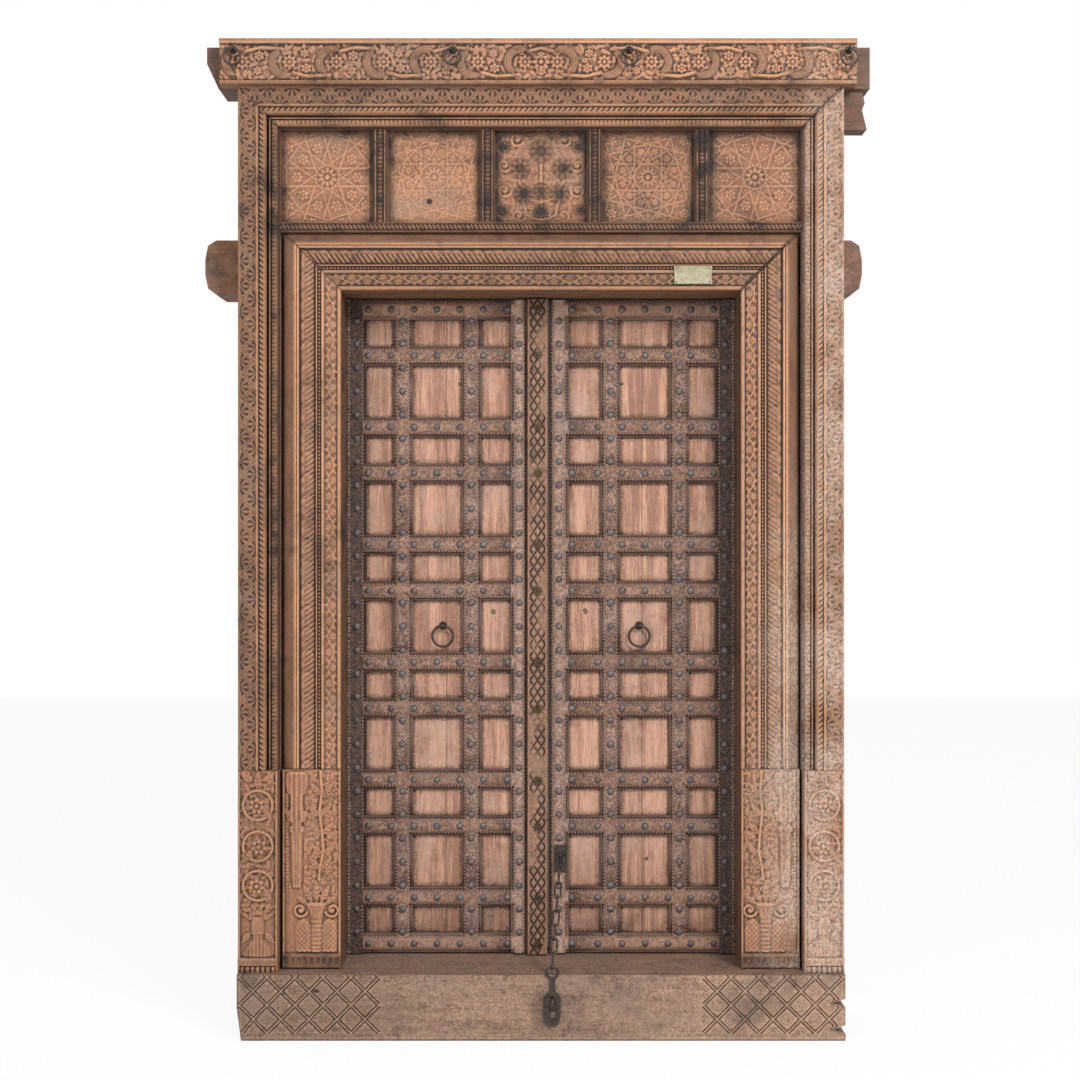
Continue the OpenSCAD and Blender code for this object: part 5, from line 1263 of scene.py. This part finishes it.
print("battens stand", BATTEN_T, "mm over the planks")

# %% [markdown]
# ## Rails and uprights
# The rails run from the slope of the hanging stile to the edge of the meeting stile. The muntins are
# made bay by bay between the rails, and the meeting stile carries its crossings itself.

# %% Rails and uprights
for leaf_side in LEAVES:
    body = f"{leaf_side}_leaf"
    spans = sorted((box_mm(f"{leaf_side}_{part}") for part in UPRIGHTS), key=lambda pair: pair[0][0])
    columns = np.concatenate([across_ticks(low[0], high[0]) for low, high in spans])
    rail_low, rail_high = (corner[0] for corner in box_mm(f"{leaf_side}_rails"))
    if leaf_side == "left":
        rail_low -= SECTION_IN[-1]
    else:
        rail_high += SECTION_IN[-1]
    columns = columns[(columns >= rail_low - 0.01) & (columns <= rail_high + 0.01)]
    timber = Timber()
    for level in rail_z:
        lattice(timber, leaf_side, columns, rail_ticks(level))
    parts = [f"{leaf_side}_{part}" for part in ("top_rail", "bottom_rail", "rails")]
    timber.piece(f"{leaf_side}_rails_moulded", batten_across, body, "batten_wood", *parts)
    bays = [[low + BATTEN_W / 2, high - BATTEN_W / 2] for low, high in zip(rail_z[:-1], rail_z[1:])]
    crossings = [np.concatenate([rail_ticks(level) for level in rail_z])]
    looks = ((bays, batten_up), (bays, batten_up), (crossings, stile_pale_and_painted_light))
    for part, (levels, material) in zip(UPRIGHTS[1:], looks):
        name = f"{leaf_side}_{part}"
        low, high = box_mm(name)
        timber = Timber()
        for run in levels:
            lattice(timber, leaf_side, across_ticks(low[0], high[0]), run)
        timber.piece(name + "_moulded", material, body, "batten_wood", name)

# %% [markdown]
# ## Cover strip and edge
# The strip on the left leaf closes the joint. It is carved with a net of lozenges that hands have
# rubbed away in places. The right leaf has a thin lip, so that no light comes through the gap.

# %% Cover strip
NET_PITCH, NET_W, NET_D = 31.0, 20.0, 4.0
STRIP_EASE, STRIP_BORDER = 2.0, 7.0
LIP = 1.6
low, high = box_mm("left_cover_strip")
high[0] -= STRIP_EASE
net = (high[2] - low[2]) / round((high[2] - low[2]) / NET_PITCH)
x_row = ticks(np.array([low[0], low[0] + STRIP_BORDER, high[0] - STRIP_BORDER, high[0]]), 2.3)
x, z = np.meshgrid(x_row, evenly(low[2], high[2], 2.8))
v = x - (low[0] + high[0]) / 2
across, along = v / NET_W, (z - low[2]) / net
off = np.minimum(np.abs(saw(across - along)), np.abs(saw(across + along)))
lozenge = smooth(off, 0.06, 0.24) * (0.75 + 0.25 * np.cos(2 * np.pi * v / 5))
rubbed = blur(blur(rng.normal(size=x.shape), 9), 9)
rubbed = smooth(rubbed / rubbed.std(), -0.4, 1.6)
h = np.where(np.abs(v) > NET_W, 0, NET_D * (rubbed + (1 - rubbed) * lozenge - 1))
strip = Timber()
strip.carved(x, z, h, low[1], high[1], 0.15 + 0.15 * (1 - rubbed), 0.1 * rubbed)
strip.piece("left_cover_strip_carved", strip_wood, "left_leaf", "batten_wood", "left_cover_strip")

# The lip is dark wood, painted shade in the joint between the leaves.
low, high = box_mm("right_inner_plank")
lip = Timber()
lip.block((low[0] - LIP, low[1] / 2, low[2]), (low[0], high[1] - 1, high[2]), -0.2, 0.5)
lip.piece("right_edge_lip", stile_dark, "right_leaf", "plank_wood")

# %% [markdown]
# ## Nails and beads
# Every bay of the grid has two or three domed nails, and a row of small beads runs along the edges of
# the battens. Both repeat by a rule, so a Geometry Nodes tree sets one small dome on every place.


# %% Tree that sets domes on places
def dome_tree(name, detail, material):
    """A tree with inputs for the size of a dome, its unevenness and the seed."""
    tree = bpy.data.node_groups.new(name, "GeometryNodeTree")
    face = tree.interface
    face.new_socket("Places", in_out="INPUT", socket_type="NodeSocketGeometry")
    sockets = {
        "Size": face.new_socket("Size", in_out="INPUT", socket_type="NodeSocketVector"),
        "Uneven": face.new_socket("Uneven", in_out="INPUT", socket_type="NodeSocketFloat"),
        "Seed": face.new_socket("Seed", in_out="INPUT", socket_type="NodeSocketInt"),
    }
    face.new_socket("Domes", in_out="OUTPUT", socket_type="NodeSocketGeometry")
    inputs = tree.nodes.new("NodeGroupInput")
    places, size, uneven, seed = (Sock(tree, inputs.outputs[i]) for i in range(4))
    ball = node(tree, "GeometryNodeMeshIcoSphere", {}, {"Radius": 1.0, "Subdivisions": detail})
    ball = node(tree, "GeometryNodeSetShadeSmooth", {}, {"Geometry": ball})
    spread = node(tree, "FunctionNodeRandomValue", {}, {"Min": 0.0, "Max": 1.0, "Seed": seed}, 1)
    grow = node(tree, "ShaderNodeMath", {"operation": "MULTIPLY_ADD"}, {0: spread, 1: uneven, 2: 1.0})
    scale = node(tree, "ShaderNodeVectorMath", {"operation": "SCALE"}, {0: size, 3: grow})
    turn = node(tree, "ShaderNodeCombineXYZ", {}, {1: spread * 6.28})
    set_on = {"Points": places, "Instance": ball, "Rotation": turn, "Scale": scale}
    domes = node(tree, "GeometryNodeInstanceOnPoints", {}, set_on)
    domes = node(tree, "GeometryNodeRealizeInstances", {}, {"Geometry": domes})
    domes = node(tree, "GeometryNodeSetMaterial", {}, {"Geometry": domes, "Material": material})
    tree.links.new(domes.out, tree.nodes.new("NodeGroupOutput").inputs[0])
    return tree, {key: socket.identifier for key, socket in sockets.items()}


nail_tree = dome_tree("nail_domes", 2, boss_iron)
bead_tree = dome_tree("edge_beads", 1, batten_up)
rope_tree = dome_tree("rope_beads", 1, stile_pale_and_painted_light)
plug_tree = dome_tree("plug_domes", 2, beam_dark)
print("trees:", [made.name for made, keys in (nail_tree, bead_tree, rope_tree, plug_tree)])


# %% Domes as plain meshes
def domes(name, places, tree, size, uneven, seed, body, slot, *nodes):
    """Sets domes on places in millimetres and keeps the result as a plain mesh."""
    group, keys = tree
    seeds = bpy.data.meshes.new(name + "_places")
    seeds.from_pydata((np.asarray(places) * MM).tolist(), [], [])
    holder = put(name + "_places", seeds)
    modifier = holder.modifiers.new("Domes", "NODES")
    modifier.node_group = group
    modifier[keys["Size"]] = [side * MM for side in size]
    modifier[keys["Uneven"]] = uneven
    modifier[keys["Seed"]] = seed
    graph = bpy.context.evaluated_depsgraph_get()
    mesh = bpy.data.meshes.new_from_object(holder.evaluated_get(graph))
    bpy.data.objects.remove(holder)
    part_of_door(put(name, mesh), body, nodes)
    print(f"{name}: {len(places)} domes, {len(mesh.polygons)} faces")


print("domes become plain meshes, one for each body")

# %% [markdown]
# ## Places of the nails
# The nails stand on the middle lines of the battens, two or three to a bay, and none under the chain's
# plate. Turned beads follow the slope round each opening. A heavier row, cut like a rope, runs along the
# stiles and the top. Three loose studs and two wooden plugs sit on the planks.

# %% Places of the nails
NAIL_SIZE = (10.0, 7.0, 10.0)
BEAD_SIZE, BEAD_Y, BEAD_INSET = (3.0, 2.4, 3.4), -33.0, 9.5
EDGE_BEAD_PITCH = 8.5
ROPE_SIZE, ROPE_X = (5.5, 2.4, 3.6), 504.0
STUDS, STUD_SIZE = ((-213.0, 1663.0), (213.0, 1663.0), (278.0, 414.0)), (4.5, 4.0, 4.5)
PLUGS, PLUG_SIZE = ((-125.0, 1063.0), (117.0, 1065.0)), (7.5, 1.2, 6.0)
plate_low, plate_high = box_mm("chain_plate")


def under_plate(place):
    """Tells if a nail would stand under the chain's plate."""
    reach = NAIL_SIZE[0]
    return all(plate_low[k] - reach < place[k] < plate_high[k] + reach for k in (0, 2))


for leaf_side in LEAVES:
    body = f"{leaf_side}_leaf"
    out = -1 if leaf_side == "left" else 1
    uprights = upright_x[leaf_side]
    meeting_low, meeting_high = box_mm(f"{leaf_side}_meeting_stile")
    face_y = meeting_low[1]
    nails = []
    for z in rail_z:
        for a, b, n in zip(uprights[:-1], uprights[1:], (2, 3, 2)):
            nails += [(a + (j + 0.5) * (b - a) / n, face_y, z) for j in range(n)]
    for x in uprights:
        for i, (a, b) in enumerate(zip(rail_z[:-1], rail_z[1:])):
            n = 2 if i % 2 == 0 else 3
            nails += [(x, face_y, a + (j + 0.5) * (b - a) / n) for j in range(n)]
    nails = [place for place in nails if not under_plate(place)]
    bosses = f"{leaf_side}_bosses"
    domes(f"{leaf_side}_nails", nails, nail_tree, NAIL_SIZE, -0.1, 3, body, "boss_iron", bosses)

    beads = []
    spans = sorted((box_mm(f"{leaf_side}_{part}") for part in UPRIGHTS), key=lambda pair: pair[0][0])
    for left, right in zip(spans[:-1], spans[1:]):
        x0, x1 = left[1][0] - BEAD_INSET, right[0][0] + BEAD_INSET
        for low_rail, high_rail in zip(rail_z[:-1], rail_z[1:]):
            z0, z1 = low_rail + BATTEN_W / 2 - BEAD_INSET, high_rail - BATTEN_W / 2 + BEAD_INSET
            beads += [(x, BEAD_Y, z) for z in (z0, z1) for x in evenly(x0, x1, EDGE_BEAD_PITCH)]
            beads += [(x, BEAD_Y, z) for x in (x0, x1) for z in evenly(z0, z1, EDGE_BEAD_PITCH)[1:-1]]
    domes(f"{leaf_side}_edge_beads", beads, bead_tree, BEAD_SIZE, 0.15, 5, body, "batten_wood")

    # The rope beads take the paler stile wood: painted light where the post and the lintel shade them.
    heights = evenly(leaf_foot + 4, leaf_top - 4, EDGE_BEAD_PITCH)
    beside = meeting_high[0] - BEAD_INSET if out < 0 else meeting_low[0] + BEAD_INSET
    rope = [(out * ROPE_X, face_y, z) for z in heights] + [(beside, BEAD_Y, z) for z in heights]
    top_run = evenly(*sorted((beside, out * ROPE_X)), EDGE_BEAD_PITCH)
    rope += [(x, BEAD_Y, leaf_top - BEAD_INSET) for x in top_run]
    domes(f"{leaf_side}_rope", rope, rope_tree, ROPE_SIZE, 0.1, 6, body, "batten_wood")

    studs, plugs = ([(x, PLANK_FACE, z) for x, z in kind if x * out > 0] for kind in (STUDS, PLUGS))
    domes(f"{leaf_side}_studs", studs, nail_tree, STUD_SIZE, 0.1, 4, body, "boss_iron")
    domes(f"{leaf_side}_plugs", plugs, plug_tree, PLUG_SIZE, 0.1, 4, body, "plank_wood")

# %% [markdown]
# ## Bare plate
# A small sheet-brass plate is pinned to the inner lintel. It has a raised border and nothing on it.

# %% Plate
PLATE_MID = (385.0, 1923.0)
PLATE_W, PLATE_H, PLATE_T = 96.0, 46.0, 2.5
PIN_INSET, PIN_SIZE = 6.0, (2.4, 1.6, 2.4)
x, z = np.meshgrid(evenly(-PLATE_W / 2, PLATE_W / 2, 2.0), evenly(-PLATE_H / 2, PLATE_H / 2, 2.0))
rim = np.minimum(PLATE_W / 2 - np.abs(x), PLATE_H / 2 - np.abs(z))
h = 0.8 * bump(rim - 3, 2.2) + 0.3 * np.cos(x / 30) * np.cos(z / 20)
plate = Timber()
plate.carved(x + PLATE_MID[0], z + PLATE_MID[1], h, INNER_FACE - PLATE_T, INNER_FACE)
plate.piece("bare_plate", plate_brass, "frame", "star_brass")
pin_x, pin_z = (
    [middle + way * (side / 2 - PIN_INSET) for way in (-1, 1)]
    for middle, side in zip(PLATE_MID, (PLATE_W, PLATE_H))
)
pins = [(x, INNER_FACE - PLATE_T, z) for x in pin_x for z in pin_z]
pin_tree = dome_tree("pin_domes", 2, boss_iron)
domes("plate_pins", pins, pin_tree, PIN_SIZE, 0.05, 2, "frame", "boss_iron")

# %% [markdown]
# ## Light, floor and camera
# A broad lamp from the right front, a weaker one from the left and a pale world give soft studio light.
# The world is white to the camera alone, so the light on the door stays plain. The floor is nearly
# white to the camera too. A tenth of its own light is left, so it keeps the shadow of the door.


# %% World and floor
FLOOR = 9.0
FLOOR_LIFT = 0.9
SEEN_RAYS = ("Is Camera Ray", "Is Glossy Ray", "Is Transmission Ray")


def seen_white(tree):
    """1 for camera, mirror and glass rays, and 0 for all others."""
    ray = tree.nodes.new("ShaderNodeLightPath")
    camera_ray, mirror_ray, glass_ray = (Sock(tree, ray.outputs[name]) for name in SEEN_RAYS)
    return (camera_ray + mirror_ray + glass_ray).clamp()


world = bpy.data.worlds.new("studio_air")
bpy.context.scene.world = world
world.use_nodes = True
air = world.node_tree
air.nodes.clear()
white = node(air, "ShaderNodeBackground", {}, {"Color": (1, 1, 1, 1), "Strength": 1.0})
soft = node(air, "ShaderNodeBackground", {}, {"Color": (1, 0.985, 0.965, 1), "Strength": 0.55})
both = node(air, "ShaderNodeMixShader", {}, {0: seen_white(air), 1: soft, 2: white})
air.links.new(both.out, air.nodes.new("ShaderNodeOutputWorld").inputs[0])

floor_mesh = bpy.data.meshes.new("studio_floor")
corners = [(FLOOR * a, FLOOR * b, 0) for a, b in ((-1, -1), (1, -1), (1, 1), (-1, 1))]
floor_mesh.from_pydata(corners, [], [[0, 1, 2, 3]])
floor = put("studio_floor", floor_mesh)
floor_paint, paint, matt = new_material("floor_paint")
matt.inputs["Base Color"].default_value = (0.9, 0.9, 0.9, 1)
matt.inputs["Roughness"].default_value = 0.9
glow = node(paint, "ShaderNodeEmission", {}, {"Color": (1, 1, 1, 1), "Strength": 1.0})
lift = seen_white(paint) * FLOOR_LIFT
mixed = node(paint, "ShaderNodeMixShader", {}, {0: lift, 1: Sock(paint, matt.outputs[0]), 2: glow})
paint.links.new(mixed.out, paint.nodes["Material Output"].inputs[0])
floor_mesh.materials.append(floor_paint)
print("floor is", 2 * FLOOR, "m wide")

# %% Lamps
DOOR_MIDDLE = (0, 0, 1.2)


def lamp(name, place, size, power):
    """A square soft lamp that looks at the middle of the door."""
    light = bpy.data.lights.new(name, "AREA")
    light.size = size
    light.energy = power
    made = put(name, light)
    made.location = place
    way = np.array(DOOR_MIDDLE) - np.array(place)
    yaw = math.atan2(way[0], way[1])
    made.rotation_euler = (math.atan2(math.hypot(way[0], way[1]), -way[2]), 0, -yaw)
    print(name, power, "W")


lamp("key_lamp", (2.2, -4.2, 4.0), 1.6, 215)
lamp("fill_lamp", (-2.8, -4.6, 2.2), 2.4, 78)

# %% Camera
FOCAL_PX, PHOTO_PX = 1720.0, 1080.0
EYE = (-0.0025, -4.542, 1.252)
view = bpy.data.cameras.new("photo_view")
view.sensor_width = 36.0
view.lens = FOCAL_PX / PHOTO_PX * view.sensor_width
camera = put("photo_view", view)
camera.location = EYE
camera.rotation_euler = (math.pi / 2, 0, 0)
bpy.context.scene.camera = camera
bpy.context.scene.view_settings.view_transform = "Standard"
print("camera lens", round(view.lens, 2), "mm")
